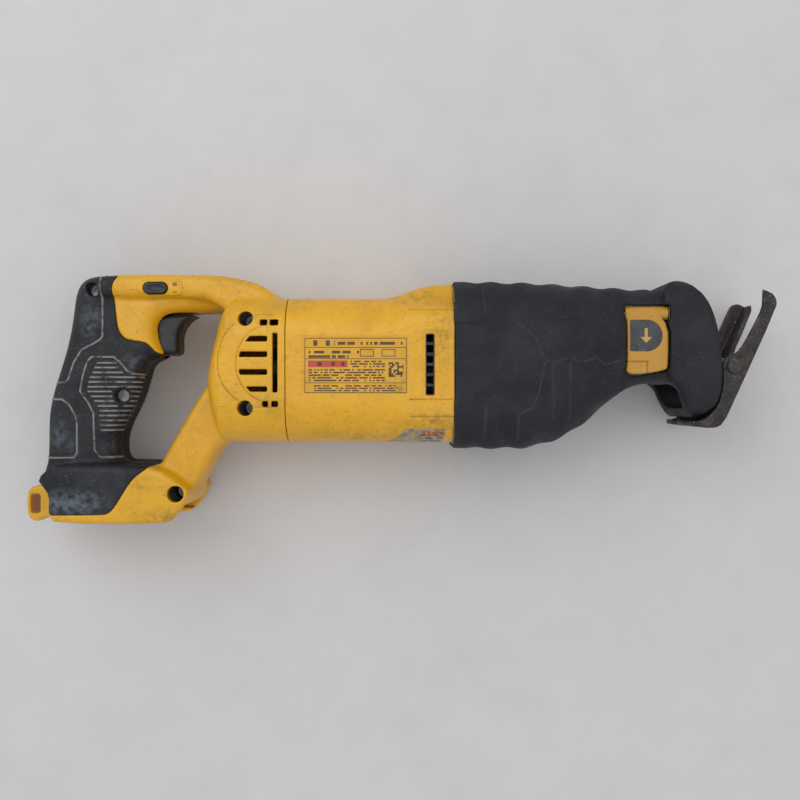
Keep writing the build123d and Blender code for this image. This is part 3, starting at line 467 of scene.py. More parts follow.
def build_housing():
    g = Field(-68.5, 33, -28, 72, -1.5, 85.5, 0.72)
    outer = housing_form(g)
    side = g.A > 30
    # raised frame round the exhaust slot and the set-back flap ahead of it
    frame_d = rounded_rect(g.X - 20.6, g.Y - 20.2, 7.6, 19.6, 2.0)
    flap_d = rounded_rect(g.X - 23.2, g.Y - 20.2, 4.0, 17.6, 1.0)
    outer = outer + 0.5 * step_up(frame_d, 0.8) * side + 0.5 * step_up(flap_d, 0.5) * side
    for y in (52.4, 0.2, -10.2):
        groove = np.maximum(np.abs(g.Y - y) - 0.45, 5 - g.X)
        outer = outer + 0.8 * step_up(groove, 0.5) * (g.A > 24)
    outer = np.maximum(outer, np.abs(g.X + 18) - 49.0)
    lip = 0.45 * step_up(np.abs(g.X + 67) - 0.5, 0.5)
    outer = outer + lip
    bore = rounded_rect(g.Y - 17.75, g.A, 39.85, 39.2, 21.2)
    shell = np.maximum(outer, -bore)
    for y, z in LONG_SCREW_YZ:
        post = np.sqrt((g.Y - y) ** 2 + (g.Z - MID - z) ** 2)
        shell = np.minimum(shell, np.maximum(np.maximum(post - 5.2, 4 - g.X), g.X - 31))
        shell = np.maximum(shell, -np.maximum(post - 2.05, 10 - g.X))
    slot = np.maximum(rounded_rect(g.X - 17, g.Y - 20.25, 2.5, 17.75, 0.8), 36 - g.A)
    shell = carve(shell, slot, 0.5)
    tag = block(g, -56.1, 4.1, 3.4, 36.1, 2 * MID - 0.4, 100)
    shell = np.maximum(shell, -tag)
    return moulded("motor_housing_form", nets(g, shell), "tool_body", "motor_housing")


def build_sticker():
    """Torn remnant of a foil sticker, lying on the curve below the rating label."""
    g = Field(-12, 29, -27, -14, 57, 84, 0.3)
    torn = plan(g, [(-8.4, -24.6), (-3, -23.4), (1.5, -18.2), (4, -16.8), (13, -17.4), (16, -16.6),
                    (25.6, -17), (26.2, -21), (24.5, -25.5), (12, -25.8), (3, -25.2), (-3, -26)], 0)
    skin = housing_form(g)
    sheet = np.maximum(np.maximum(skin - 0.25, -(skin + 0.45)), torn)
    return moulded("torn_sticker_form", nets(g, sheet), "tool_body", "warning_sticker")


# ---- nose --------------------------------------------------------------------------------
def eased(x, xs, values, sigma=3.5):
    """Station values run through a short moving average, so that the taper has no kinks."""
    fine = np.arange(xs[0] - 20, xs[-1] + 20, 0.5)
    v = np.interp(fine, xs, values)
    k = np.exp(-0.5 * (np.arange(-24, 25) * 0.5 / sigma) ** 2)
    v = np.convolve(np.pad(v, 24, mode="edge"), k / k.sum(), mode="valid")
    return np.interp(x, fine, v).astype(np.float32)


def boot_form(g, inset=0.0):
    xs = [s[0] for s in BOOT_STATIONS]
    yb, yt, half, r = (eased(g.X[:, 0, 0], xs, [s[k] for s in BOOT_STATIONS])[:, None, None]
                       for k in (1, 2, 3, 4))
    return rounded_rect(g.Y - (yb + yt) / 2, g.A, (yt - yb) / 2 - inset, half - inset, r - inset)


def bell_form(g):
    """Bell with a lip on each side that reaches over the flanges of the shoe."""
    lip = 2.6 * np.clip((g.A - 29.6) / 2.2, 0, 1) * np.clip((g.X - 165) / 20, 0, 1)
    bell = crown(plan(g, BELL, 3) - lip, g.A, 33.0, 4, 5)
    return np.maximum(bell, rounded_rect(g.Y - 29.5, g.A, 42.0, 33.0, 15.0))


BOOT_LINES = [
    [(65.5, 45.1), (74.5, 39.2), (78.4, 34.7), (83.6, 22.4), (90.1, 21.7), (97.3, 24.4), (105.7, 21.7),
     (113.5, 24.4), (119.3, 20.4), (129, 23)],
    [(83.6, 22.4), (79.7, 3.6), (76.5, -4.2)], [(88.1, 21.7), (88.1, -10.7)], [(98.3, 21.7), (97.9, -12)],
    [(47.9, 66), (48.6, 52.8)], [(49.3, -2.9), (48.6, -23)], [(68, -9.4), (68, -23)],
    [(68, -9.4), (76.5, -4.2)]]


def build_boot():
    g = Field(29.5, 193, -31.5, 74.5, -1.5, 85.5, 0.75)
    sleeve = boot_form(g)
    wave = 0.55 * np.cos((g.X - 54) * 2 * math.pi / WAVE_PITCH) * np.clip((g.X - 33) / 12, 0, 1)
    wave = wave * np.clip((158 - g.X) / 10, 0, 1)
    edge_only = np.clip((np.abs(g.Y - 20.5) - 26) / 12, 0, 1)
    sleeve = sleeve - wave * (0.25 + 0.75 * edge_only)
    sleeve = np.maximum(sleeve, np.maximum(31.2 - g.X, g.X - 164))
    form = melt(sleeve, bell_form(g), 5)
    form = np.maximum(form, g.A - 42.0)
    for y0, y1 in ((43.5, 57), (-14, 0)):
        tab = rounded_rect(g.X - 38, g.Y - (y0 + y1) / 2, 9, (y1 - y0) / 2, 3.5)
        form = form - 0.5 * step_up(tab, 0.7) * (g.A > 20)
        form = form + 0.35 * step_up(np.abs(tab) - 0.35, 0.5) * (g.A > 20)
    nick = np.hypot(np.hypot((g.X - 40.5) * 0.7, g.Y - 49.5 + 0.3 * (g.X - 40.5)), (g.Z - 78.0) * 0.6) - 1.4
    form = carve(form, nick, 0.3)
    lines = line_gap(g.X[:, :, 0], g.Y[:, :, 0], BOOT_LINES)[:, :, None]
    form = form - 0.22 * np.clip(1.2 - lines / 0.7, 0, 1) * (g.Z > MID + 12)
    inner = np.maximum(boot_form(g, 2.6), g.X - 160)
    form = np.maximum(form, -inner)
    mouth = block(g, 160, 220, -5, 63.5, MID - 27, MID + 27, 14)
    form = carve(form, mouth, 2.5)
    window = np.maximum(plan(g, LEVER, 2) - 0.9, MID + 12 - g.Z)
    window = np.minimum(window, block(g, 130.9, 158.2, 46.2, 55.9, MID + 12, 120, 1.2))
    form = carve(form, window, 0.5)
    for y, z in LONG_SCREW_YZ:
        w = np.sqrt((g.Y - y) ** 2 + (g.Z - MID - z) ** 2) - 4.3
        form = carve(form, np.maximum(w, np.abs(g.X - 46) - 4.1), 0.4)
    ob = mesh_piece("nose_boot_form", *nets(g, form))
    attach(ob, "tool_body")
    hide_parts("nose_boot")
    # Raised lines of the boot, marked for pale wear and a painted highlight
    mark_worn_lit_lines(ob, BOOT_LINES, 0.5)
    return ob


def build_lever():
    g = Field(130.5, 159, 12.5, 56.5, 63.5, 74.5, 0.3)
    d = plan(g, LEVER, 2)
    body = crown(d, np.abs(g.Z - 69), 4.0, 1.3, 1.3)
    hinge = np.sqrt((g.Y - LEVER_HINGE_YZ[0]) ** 2 + (g.Z - LEVER_HINGE_YZ[1]) ** 2)
    barrel = np.maximum(hinge - 4.0, np.abs(g.X - 144.75) - 12.7)
    body = melt(body, barrel, 0.8)
    cross_line = np.maximum(np.abs(g.Y - 22.4) - 0.4, np.abs(g.X - 139) - 6.5)
    body = body + 0.5 * step_up(cross_line, 0.4) * (g.Z > 70)
    body = body + 0.5 * step_up(np.maximum(np.abs(g.X - 145) - 0.4, g.Y - 22.4), 0.4) * (g.Z > 70)
    badge = np.minimum(rounded_rect(g.X - 140, g.Y - 37.65, 5.2, 9.15, 0.8),
                       np.maximum(well(g, 144.6, 37.65, 9.2), 144 - g.X))
    body = np.maximum(body, -np.maximum(badge, 72.5 - g.Z))
    body = np.maximum(body, -(hinge - 1.6))
    return moulded("release_lever_form", nets(g, body), "lever_body", "release_lever")


def build_shoe():
    g = Field(163, 225, -20, 70, MID - 32, MID + 32, 0.5)
    s = (g.X - SHOE_FOOT_X) * math.sin(SHOE_LEAN) + g.Y * math.cos(SHOE_LEAN)
    n = (g.X - SHOE_FOOT_X) * math.cos(SHOE_LEAN) - g.Y * math.sin(SHOE_LEAN)
    body = crown(plan(g, SHOE_SIDE, 1), g.A, 30.0, 0.8)
    body = np.maximum(body, 172.0 - g.X)
    body = np.maximum(body, rounded_rect(s - 20, g.A, 49.5, 30.0, 9.0))
    hollow = np.maximum(np.maximum(n + 3.0, g.A - 27.0), -11.6 - g.Y)
    body = carve(body, hollow, 0.8)
    run = np.maximum(38.5 - s, 0)
    body = carve(body, np.sqrt(run ** 2 + g.A ** 2) - 12.5, 0.8)
    # the far tine ends in a round, the near one keeps its hooked corner
    cap = np.hypot(np.maximum(s - 59.6, 0), np.minimum(n + 5.0, 0)) - 5.2
    tine = np.maximum(np.maximum(cap, 30.0 - s), np.maximum(n, np.abs(g.A - 28.4) - 1.6))
    far = g.Z < MID
    tip = np.where(s > 55, np.hypot(np.maximum(s - 59.6, 0), n + 5.0) - 5.2, -9.0)
    body = np.where(far, np.minimum(np.maximum(body, tip), tine), body)
    body = np.maximum(body, -well(g, *SHOE_PIVOT, 3.08))
    return moulded("shoe_form", nets(g, body), "shoe_body", "shoe")


# ---- materials -----------------------------------------------------------------------------
def linear(code):
    """Linear RGBA of an sRGB hex colour."""
    parts = [int(code[i:i + 2], 16) / 255 for i in (1, 3, 5)]
    return [c / 12.92 if c <= 0.04045 else ((c + 0.055) / 1.055) ** 2.4 for c in parts] + [1.0]


def add(tree, kind, sockets=(), **settings):
    """Add a node: settings are its own properties, sockets its input values or the outputs that feed them."""
    node = tree.nodes.new("ShaderNode" + kind)
    for key, value in settings.items():
        setattr(node, key, value)
    for key, value in dict(sockets).items():
        if isinstance(value, bpy.types.NodeSocket):
            tree.links.new(value, node.inputs[key])
        else:
            node.inputs[key].default_value = value
    return node


def new_finish(name, roughness, ior=1.5, metallic=0.0):
    """Material, its tree, its shader and the place on the tool in drawing millimetres."""
    material = bpy.data.materials.new(name)
    material.use_nodes = True
    tree = material.node_tree
    tree.nodes.clear()
    shader = add(tree, "BsdfPrincipled", {"Roughness": roughness, "IOR": ior, "Metallic": metallic})
    output = add(tree, "OutputMaterial")
    tree.links.new(shader.outputs[0], output.inputs[0])
    spot = add(tree, "TexCoord").outputs["Object"]
    place = add(tree, "VectorMath", {0: spot, 1: (1000, 1000, 1000), 2: tuple(-SHIFT)},
                operation="MULTIPLY_ADD")
    return material, tree, shader, place.outputs[0]


def patches(tree, place, size, start, full, stretch=(1, 1, 1), turn=0.0, seed=0.0, detail=3.0):
    """Mask of soft patches about size millimetres across, from where the noise passes start to full."""
    at = add(tree, "Mapping", {"Vector": place, "Location": (seed * 7.1, seed * 3.3, seed * 5.7),
                               "Rotation": (0, 0, turn), "Scale": stretch}).outputs[0]
    noise = add(tree, "TexNoise", {"Vector": at, "Scale": 1 / size, "Detail": detail, "Roughness": 0.6})
    return add(tree, "MapRange", {0: noise.outputs[0], 1: start, 2: full}, clamp=True).outputs[0]


def scratches(tree, place, length, width, turn, seed, cover=0.5):
    """Mask of fine broken lines about length millimetres long that run along one direction."""
    at = add(tree, "Mapping", {"Vector": place, "Location": (seed * 9.7, seed * 4.1, seed * 2.3),
                               "Rotation": (0, 0, turn),
                               "Scale": (1 / length, 11 / length, 6 / length)}).outputs[0]
    noise = add(tree, "TexNoise", {"Vector": at, "Scale": 1.0, "Detail": 1.0}).outputs[0]
    line = add(tree, "Math", {0: noise, 1: 0.5}, operation="SUBTRACT").outputs[0]
    line = add(tree, "Math", {0: line}, operation="ABSOLUTE").outputs[0]
    line = add(tree, "MapRange", {0: line, 1: width, 2: 0.0}, clamp=True).outputs[0]
    broken = patches(tree, place, length * 0.6, 1 - cover, 1.08 - cover, seed=seed + 3)
    return add(tree, "Math", {0: line, 1: broken}, operation="MULTIPLY").outputs[0]


def smudge(tree, place, x, y, rx, ry, amount=1.0):
    """Soft mask round a spot of the drawing, broken up by noise."""
    near = add(tree, "Mapping", {"Vector": place, "Location": (-x / rx, -y / ry, 0),
                                 "Scale": (1 / rx, 1 / ry, 0)})
    ball = add(tree, "TexGradient", {"Vector": near.outputs[0]}, gradient_type="SPHERICAL").outputs[1]
    rough = patches(tree, place, 4.0, 0.38, 0.62, seed=x)
    mask = add(tree, "Math", {0: ball, 1: rough}, operation="MULTIPLY").outputs[0]
    mask = add(tree, "Math", {0: mask, 1: amount}, operation="MULTIPLY", use_clamp=True).outputs[0]
    side = add(tree, "SeparateXYZ", {0: place}).outputs[2]
    side = add(tree, "MapRange", {0: side, 1: MID + 6, 2: MID + 20}, clamp=True).outputs[0]
    return add(tree, "Math", {0: mask, 1: side}, operation="MULTIPLY").outputs[0]


def edges(tree, start, full):
    """Mask of ridges when start is less than full, and of crevices the other way about."""
    point = add(tree, "NewGeometry").outputs["Pointiness"]
    return add(tree, "MapRange", {0: point, 1: start, 2: full}, clamp=True).outputs[0]


def panel(tree, place, x0, x1, y0, y1):
    """Mask of an upright rectangle of the drawing."""
    middle = ((x0 + x1) / 2, (y0 + y1) / 2, 0)
    off = add(tree, "VectorMath", {0: place, 1: middle}, operation="SUBTRACT").outputs[0]
    off = add(tree, "VectorMath", {0: off}, operation="ABSOLUTE").outputs[0]
    off = add(tree, "SeparateXYZ", {0: off})
    in_x = add(tree, "Math", {0: off.outputs[0], 1: (x1 - x0) / 2}, operation="LESS_THAN").outputs[0]
    in_y = add(tree, "Math", {0: off.outputs[1], 1: (y1 - y0) / 2}, operation="LESS_THAN").outputs[0]
    return add(tree, "Math", {0: in_x, 1: in_y}, operation="MULTIPLY").outputs[0]


def dashes(tree, place, x0, x1, y0, y1, rows, dash, fill=0.55):
    """Mask of rows of dashes of uneven length, where a real label has its small print."""
    pitch = (y1 - y0) / rows
    axes = add(tree, "SeparateXYZ", {0: place})
    row = add(tree, "Math", {0: axes.outputs[1], 1: 1 / pitch, 2: -y0 / pitch},
              operation="MULTIPLY_ADD").outputs[0]
    inside = add(tree, "Math", {0: row}, operation="FRACT").outputs[0]
    inside = add(tree, "Math", {0: inside, 1: fill}, operation="LESS_THAN").outputs[0]
    number = add(tree, "Math", {0: row}, operation="FLOOR").outputs[0]
    cell = add(tree, "Math", {0: axes.outputs[0], 1: 1 / dash}, operation="MULTIPLY").outputs[0]
    cell = add(tree, "Math", {0: cell}, operation="FLOOR").outputs[0]
    chance = add(tree, "Math", {0: number, 1: 37.0, 2: cell}, operation="MULTIPLY_ADD").outputs[0]
    chance = add(tree, "TexWhiteNoise", {"W": chance}, noise_dimensions="1D").outputs[0]
    ink = add(tree, "Math", {0: chance, 1: 0.24}, operation="GREATER_THAN").outputs[0]
    ink = add(tree, "Math", {0: ink, 1: inside}, operation="MULTIPLY").outputs[0]
    return add(tree, "Math", {0: ink, 1: panel(tree, place, x0, x1, y0, y1)}, operation="MULTIPLY").outputs[0]


def tint(tree, mask, under, over, amount=1.0):
    """Colour over laid on colour under where the mask is, as strongly as amount."""
    if amount < 1.0:
        mask = add(tree, "Math", {0: mask, 1: amount}, operation="MULTIPLY").outputs[0]
    mix = add(tree, "Mix", {0: mask}, data_type="RGBA")
    for socket, colour in ((6, under), (7, over)):
        if isinstance(colour, bpy.types.NodeSocket):
            tree.links.new(colour, mix.inputs[socket])
        else:
            mix.inputs[socket].default_value = linear(colour) if isinstance(colour, str) else list(colour)
    return mix.outputs[2]


def press(tree, shader, layers):
    """Chain of bumps: each layer is a height mask and its depth in millimetres."""
    normal = None
    for height, depth in layers:
        sockets = {"Height": height, "Strength": 0.6, "Distance": depth * MM}
        if normal is not None:
            sockets["Normal"] = normal
        normal = add(tree, "Bump", sockets).outputs[0]
    tree.links.new(normal, shader.inputs["Normal"])


def gloss(tree, shader, mask, low, high):
    """Roughness that goes from low to high with the mask."""
    rough = add(tree, "MapRange", {0: mask, 3: low, 4: high}).outputs[0]
    tree.links.new(rough, shader.inputs["Roughness"])


def painted_well_shade(tree, place, c, holes, top):
    """Painted shade: darkens the inside of round wells below the height top, more deeply further down."""
    axes = add(tree, "SeparateXYZ", {0: place})
    low = add(tree, "MapRange", {0: axes.outputs[2], 1: top, 2: top - 5}, clamp=True).outputs[0]
    for x, y, r in holes:
        off = add(tree, "VectorMath", {0: place, 1: (x, y, 0)}, operation="SUBTRACT").outputs[0]
        off = add(tree, "VectorMath", {0: off, 1: (1, 1, 0)}, operation="MULTIPLY").outputs[0]
        off = add(tree, "VectorMath", {0: off}, operation="LENGTH").outputs["Value"]
        off = add(tree, "Math", {0: off, 1: r}, operation="LESS_THAN").outputs[0]
        shade = add(tree, "Math", {0: off, 1: low}, operation="MULTIPLY").outputs[0]
        c = tint(tree, shade, c, "#2C2210", 0.9)
    return c


def moulded_abs(name, colour, scuffed=1.0):
    """Moulded ABS: satin, coloured through, its spark-eroded grain rubbed smooth and grimed by use, its
    crevices darkened by grime and painted shade.
    """
    material, tree, shader, place = new_finish(name, 0.42, 1.53)
    aged = patches(tree, place, 70, 0.35, 0.65)
    c = tint(tree, aged, colour, "#C48C0C", 0.3)
    film = patches(tree, place, 16, 0.5, 0.74, seed=2)
    c = tint(tree, film, c, "#A87C0E", 0.28 * scuffed)
    for x, y, rx, ry, amount in ((20, -12, 22, 9, 0.9), (-97, 71, 20, 7, 0.5), (-66, 56, 22, 9, 0.5),
                                 (-150, -50, 12, 10, 0.6), (-138, -68, 22, 7, 0.8), (-76, -2, 16, 12, 0.5),
                                 (24, 38, 12, 22, 0.8), (8, 60, 24, 7, 0.7), (-20, -22, 50, 6, 0.6),
                                 (-224, -60, 8, 18, 1.2)):
        c = tint(tree, smudge(tree, place, x, y, rx, ry, amount * scuffed), c, "#6A5220", 0.7)
    # nicks and hairline scratches, drawn about 0.4 mm wide so that they show
    for length, width, turn, seed, cover in (
            (12, 0.010, 0.5, 1, 0.46), (16, 0.009, -0.35, 2, 0.44), (9, 0.012, 1.3, 3, 0.45),
            (7, 0.016, 0.05, 8, 0.42), (6, 0.018, -1.0, 9, 0.4)):
        line = scratches(tree, place, length, width, turn, seed, cover)
        c = tint(tree, line, c, "#43340F", 0.8 * scuffed)
    specks = patches(tree, place, 0.9, 0.66, 0.72, seed=4, detail=1)
    specks_here = patches(tree, place, 22, 0.46, 0.6, seed=5)
    specks = add(tree, "Math", {0: specks, 1: specks_here}, operation="MULTIPLY").outputs[0]
    c = tint(tree, specks, c, "#33280F", 0.85 * scuffed)
    # Crevices darkened brown: partly grime, partly painted shade
    c = tint(tree, edges(tree, 0.485, 0.44), c, "#3A2D10", 0.9)
    c = tint(tree, edges(tree, 0.56, 0.66), c, "#EFC65C", 0.25)
    # Painted shade in the three screw wells
    c = painted_well_shade(tree, place, c, ((-90, 47, 4.35), (-90, -5, 4.55), (-131, -55, 4.85)), 78.5)
    for box in ((-135.2, -132.6, 67.2, 69.6), (-135.0, -132.8, 63.4, 64.1)):
        c = tint(tree, panel(tree, place, *box), c, "#3A2D10", 0.75)
    tree.links.new(c, shader.inputs["Base Color"])
    gloss(tree, shader, film, 0.36, 0.56)
    grain = patches(tree, place, 0.7, 0.3, 0.7, seed=6, detail=1)
    press(tree, shader, [(grain, 0.03), (patches(tree, place, 9, 0.4, 0.6, seed=7), 0.05)])
    return material


def worn_rubber_with_sheen(name, colour, worn, dust, wear=1.0, ridge=(0.53, 0.60), line_wear_and_highlight=0.3, rubbed_spots=()):
    """Moulded thermoplastic rubber: matt, its ridges rubbed grey and lightened by a painted highlight, and
    flecked with dust.
    """
    material, tree, shader, place = new_finish(name, 0.6, 1.52)
    shader.inputs["Specular IOR Level"].default_value = 0.32
    c = tint(tree, patches(tree, place, 40, 0.42, 0.66), colour, worn, 0.22 * wear)
    c = tint(tree, patches(tree, place, 9, 0.52, 0.74, seed=2), c, worn, 0.30 * wear)
    # Ridges lightened to the worn grey: partly wear, partly painted highlight
    c = tint(tree, edges(tree, *ridge), c, worn, 0.8 * wear)
    c = tint(tree, patches(tree, place, 1.6, 0.6, 0.72, seed=3), c, dust, 0.12 * wear)
    for length, width, turn, seed in ((22, 0.006, 0.9, 1), (18, 0.006, -0.6, 2),
                                      (30, 0.005, 0.15, 3), (12, 0.008, 1.6, 4)):
        c = tint(tree, scratches(tree, place, length, width, turn, seed, 0.42), c, dust, 0.34 * wear)
    # Raised lines lightened to the dust colour: partly wear, partly painted highlight
    lines = add(tree, "Attribute", attribute_name="rubbed").outputs["Fac"]
    broken = patches(tree, place, 5, 0.32, 0.52, seed=8)
    lines = add(tree, "Math", {0: lines, 1: broken}, operation="MULTIPLY").outputs[0]
    c = tint(tree, lines, c, dust, line_wear_and_highlight)
    for x, y, rx, ry, amount in rubbed_spots:
        c = tint(tree, smudge(tree, place, x, y, rx, ry, amount), c, "#5C6570", 0.8)
    tree.links.new(c, shader.inputs["Base Color"])
    gloss(tree, shader, patches(tree, place, 18, 0.35, 0.65, seed=5), 0.46, 0.7)
    grain = patches(tree, place, 0.9, 0.3, 0.7, seed=6, detail=1)
    press(tree, shader, [(grain, 0.08), (patches(tree, place, 6, 0.35, 0.65, seed=7), 0.12)])
    return material


def phosphated_steel(name, colour, bare, rust):
    """Pressed steel with a black phosphate coat, rubbed to bare metal at its edges and rusting."""
    material, tree, shader, place = new_finish(name, 0.5, 1.5, 0.55)
    c = tint(tree, patches(tree, place, 12, 0.38, 0.66), colour, bare, 0.5)
    c = tint(tree, patches(tree, place, 10, 0.54, 0.68, seed=3), c, rust, 0.6)
    c = tint(tree, patches(tree, place, 1.6, 0.56, 0.68, seed=4), c, rust, 0.45)
    c = tint(tree, patches(tree, place, 1.1, 0.6, 0.7, seed=8), c, "#8D8780", 0.5)
    c = tint(tree, edges(tree, 0.54, 0.62), c, "#8C8682", 0.7)
    tree.links.new(c, shader.inputs["Base Color"])
    gloss(tree, shader, patches(tree, place, 6, 0.4, 0.6, seed=5), 0.34, 0.66)
    press(tree, shader, [(patches(tree, place, 1.2, 0.35, 0.65, seed=6), 0.10),
                         (patches(tree, place, 7, 0.4, 0.6, seed=7), 0.2)])
    return material


def printed_polyester(name):
    """Polyester label film, printed black and red over yellow; only bars stand for its print."""
    material, tree, shader, place = new_finish(name, 0.34, 1.5)
    c = tint(tree, patches(tree, place, 18, 0.4, 0.7), "#D9A01C", "#C08E1C", 0.6)
    ink = "#201C14"
    for box in ((-55.4, 3.4, 35.2, 35.6), (-55.4, 3.4, 3.9, 4.3), (-55.4, -55.0, 3.9, 35.6),
                (3.0, 3.4, 3.9, 35.6), (-55.4, 3.4, 29.9, 30.25), (-55.4, 3.4, 23.4, 23.75),
                (-55.4, 3.4, 9.5, 9.85)):
        c = tint(tree, panel(tree, place, *box), c, ink)
    c = tint(tree, panel(tree, place, -53.4, -30.6, 18.7, 22.6), c, "#B8442A")
    c = tint(tree, dashes(tree, place, -48, -32, 19.5, 21.8, 1, 1.9, 1.0), c, ink, 0.85)
    for x0, x1, y0, y1, rows, dash, fill in (
            (-53.2, -38, 31.0, 34.2, 1, 2.4, 1.0), (-36.6, 1.6, 31.6, 33.4, 1, 1.1, 1.0),
            (-53.2, -44, 26.6, 28.2, 1, 1.0, 1.0), (-40, -24, 26.6, 28.2, 1, 1.2, 1.0),
            (-53.2, -30, 24.0, 25.6, 1, 1.1, 1.0), (-29, -9, 18.7, 23.0, 3, 1.0, 0.62),
            (-53.2, -9, 10.6, 18.2, 5, 1.0, 0.6), (-50, -2, 4.8, 8.9, 3, 1.0, 0.6)):
        c = tint(tree, dashes(tree, place, x0, x1, y0, y1, rows, dash, fill), c, ink, 0.9)
    c = tint(tree, dashes(tree, place, -7, 1.6, 13, 21.6, 8, 1.05, 1.0), c, ink, 0.92)
    for x, y in ((-19.5, 27.0), (-7.0, 27.0)):
        ring = panel(tree, place, x - 4, x + 4, y - 2.2, y + 2.2)
        hole = panel(tree, place, x - 3.5, x + 3.5, y - 1.7, y + 1.7)
        ring = add(tree, "Math", {0: ring, 1: hole}, operation="SUBTRACT", use_clamp=True).outputs[0]
        c = tint(tree, ring, c, ink, 0.9)
    c = tint(tree, patches(tree, place, 2.2, 0.62, 0.7, seed=3), c, "#A98228", 0.5)
    c = tint(tree, scratches(tree, place, 22, 0.010, 0.4, 2, 0.4), c, "#C8A050", 0.6)
    c = tint(tree, smudge(tree, place, 2, 6, 14, 10, 0.9), c, "#6B5020", 0.8)
    tree.links.new(c, shader.inputs["Base Color"])
    gloss(tree, shader, patches(tree, place, 12, 0.4, 0.6, seed=4), 0.26, 0.5)
    press(tree, shader, [(patches(tree, place, 5, 0.4, 0.6, seed=5), 0.02)])
    return material


def foil_sticker(name):
    """Aluminised polyester sticker: torn and creased, its print worn down to grey blocks."""
    material, tree, shader, place = new_finish(name, 0.38, 1.5, 0.35)
    c = tint(tree, patches(tree, place, 5, 0.4, 0.6), "#A89C84", "#7F7566")
    c = tint(tree, dashes(tree, place, 11, 25, -24.6, -18, 4, 1.3, 0.55), c, "#3A2A24", 0.8)
    c = tint(tree, panel(tree, place, 13, 25, -21, -18.6), c, "#9A4430", 0.7)
    c = tint(tree, patches(tree, place, 2.4, 0.52, 0.6, seed=2), c, "#C9993A", 0.75)
    tree.links.new(c, shader.inputs["Base Color"])
    press(tree, shader, [(patches(tree, place, 3, 0.4, 0.6, seed=5), 0.15)])
    return material


def screen_badge(name):
    """Printed polycarbonate badge: black, with a plain arrow in the lever's ochre."""
    material, tree, shader, place = new_finish(name, 0.3, 1.58)
    c = tint(tree, patches(tree, place, 6, 0.4, 0.65), "#1E2126", "#34373C")
    sign = "#C2923A"
    axes = add(tree, "SeparateXYZ", {0: place})
    aside = add(tree, "Math", {0: axes.outputs[0], 1: 144.2}, operation="SUBTRACT").outputs[0]
    aside = add(tree, "Math", {0: aside}, operation="ABSOLUTE").outputs[0]
    above = add(tree, "Math", {0: axes.outputs[1], 1: 33.4}, operation="SUBTRACT").outputs[0]
    wedge = add(tree, "Math", {0: aside, 1: above}, operation="LESS_THAN").outputs[0]
    below = add(tree, "Math", {0: axes.outputs[1], 1: 36.8}, operation="LESS_THAN").outputs[0]
    wedge = add(tree, "Math", {0: wedge, 1: below}, operation="MULTIPLY").outputs[0]
    c = tint(tree, wedge, c, sign)
    c = tint(tree, panel(tree, place, 143.3, 145.1, 36.6, 42.0), c, sign)
    c = tint(tree, patches(tree, place, 1.6, 0.6, 0.68, seed=2), c, "#7A6432", 0.7)
    tree.links.new(c, shader.inputs["Base Color"])
    gloss(tree, shader, patches(tree, place, 5, 0.4, 0.6), 0.22, 0.45)
    press(tree, shader, [(patches(tree, place, 1.2, 0.4, 0.6, seed=3), 0.02)])
    return material


# name, sRGB colour, second colour, metallic, roughness, IOR, grain in mm, its stretch, bump in mm
PLAIN_FINISHES = {
    # glass filled nylon, moulded: dull black with a faint grey bloom
    "black_plastic": ("moulded_nylon_black", "#18191B", "#242529", 0.0, 0.45, 1.53, 0.8, (1, 1, 1), 0.04),
    # silver steel, ground and polished: fine rings round the rod
    "bright_steel": ("ground_steel", "#A9A9A6", "#84837F", 1.0, 0.24, 1.5, 0.5, (6, 1, 1), 0.01),
    # zinc plate, clear passivated: bluish grey with a soft bloom
    "zinc_steel": ("zinc_plated_steel", "#9C9FA1", "#7C7C78", 1.0, 0.36, 1.5, 2.0, (1, 1, 1), 0.02),
    # black oxide on steel: near black, oily, with bare corners
    "black_screw": ("black_oxide_steel", "#3A3836", "#5B5650", 0.7, 0.4, 1.5, 1.5, (1, 1, 1), 0.03),
    # die cast aluminium: bright grey, slightly grainy skin
    "cast_alloy": ("die_cast_aluminium", "#B9BABB", "#94969A", 1.0, 0.48, 1.5, 1.6, (1, 1, 1), 0.06),
    # pressed fibre gasket: brown paper board
    "gasket_fibre": ("pressed_fibre", "#6E5B44", "#54442F", 0.0, 0.85, 1.5, 0.8, (1, 4, 1), 0.05),
    # enamelled copper wire: wound side by side, so fine ridges run along the core
    "copper": ("enamelled_copper", "#B5653A", "#7E3F22", 0.9, 0.3, 1.5, 0.6, (1, 5, 5), 0.12),
    # drawn brass: warm and smooth, a little tarnished
    "brass": ("drawn_brass", "#C29A4A", "#93702E", 1.0, 0.3, 1.5, 2.0, (3, 1, 1), 0.01),
    # sintered bronze: matt and porous, dark with oil
    "bronze": ("sintered_bronze", "#8F6A35", "#5F4722", 0.9, 0.5, 1.5, 0.5, (1, 1, 1), 0.05),
    # pressed carbon: matt black with graphite glints
    "carbon": ("pressed_carbon", "#2A2A2B", "#45464A", 0.1, 0.55, 1.5, 0.5, (1, 1, 1), 0.03),
    # sintered ferrite: charcoal ceramic, ground on its faces
    "ferrite": ("sintered_ferrite", "#36373A", "#4A4B50", 0.1, 0.5, 1.5, 1.0, (1, 1, 1), 0.04),
    # extruded PVC sleeve, red: smooth and slightly glossy
    "red_sleeve": ("pvc_sleeve_red", "#A32420", "#7E1B18", 0.0, 0.4, 1.54, 3.0, (1, 1, 1), 0.02),
    # extruded PVC sleeve, black
    "black_sleeve": ("pvc_sleeve_black", "#1E1E20", "#303033", 0.0, 0.4, 1.54, 3.0, (1, 1, 1), 0.02),
    # moulded nitrile seal: matt black
    "seal_rubber": ("nitrile_rubber", "#222325", "#36373A", 0.0, 0.65, 1.52, 1.0, (1, 1, 1), 0.05),
    # glass filled nylon fan: grey black with flow marks
    "fan_nylon": ("fan_nylon", "#3A3A3B", "#525254", 0.0, 0.5, 1.53, 2.5, (1, 1, 1), 0.04),
}


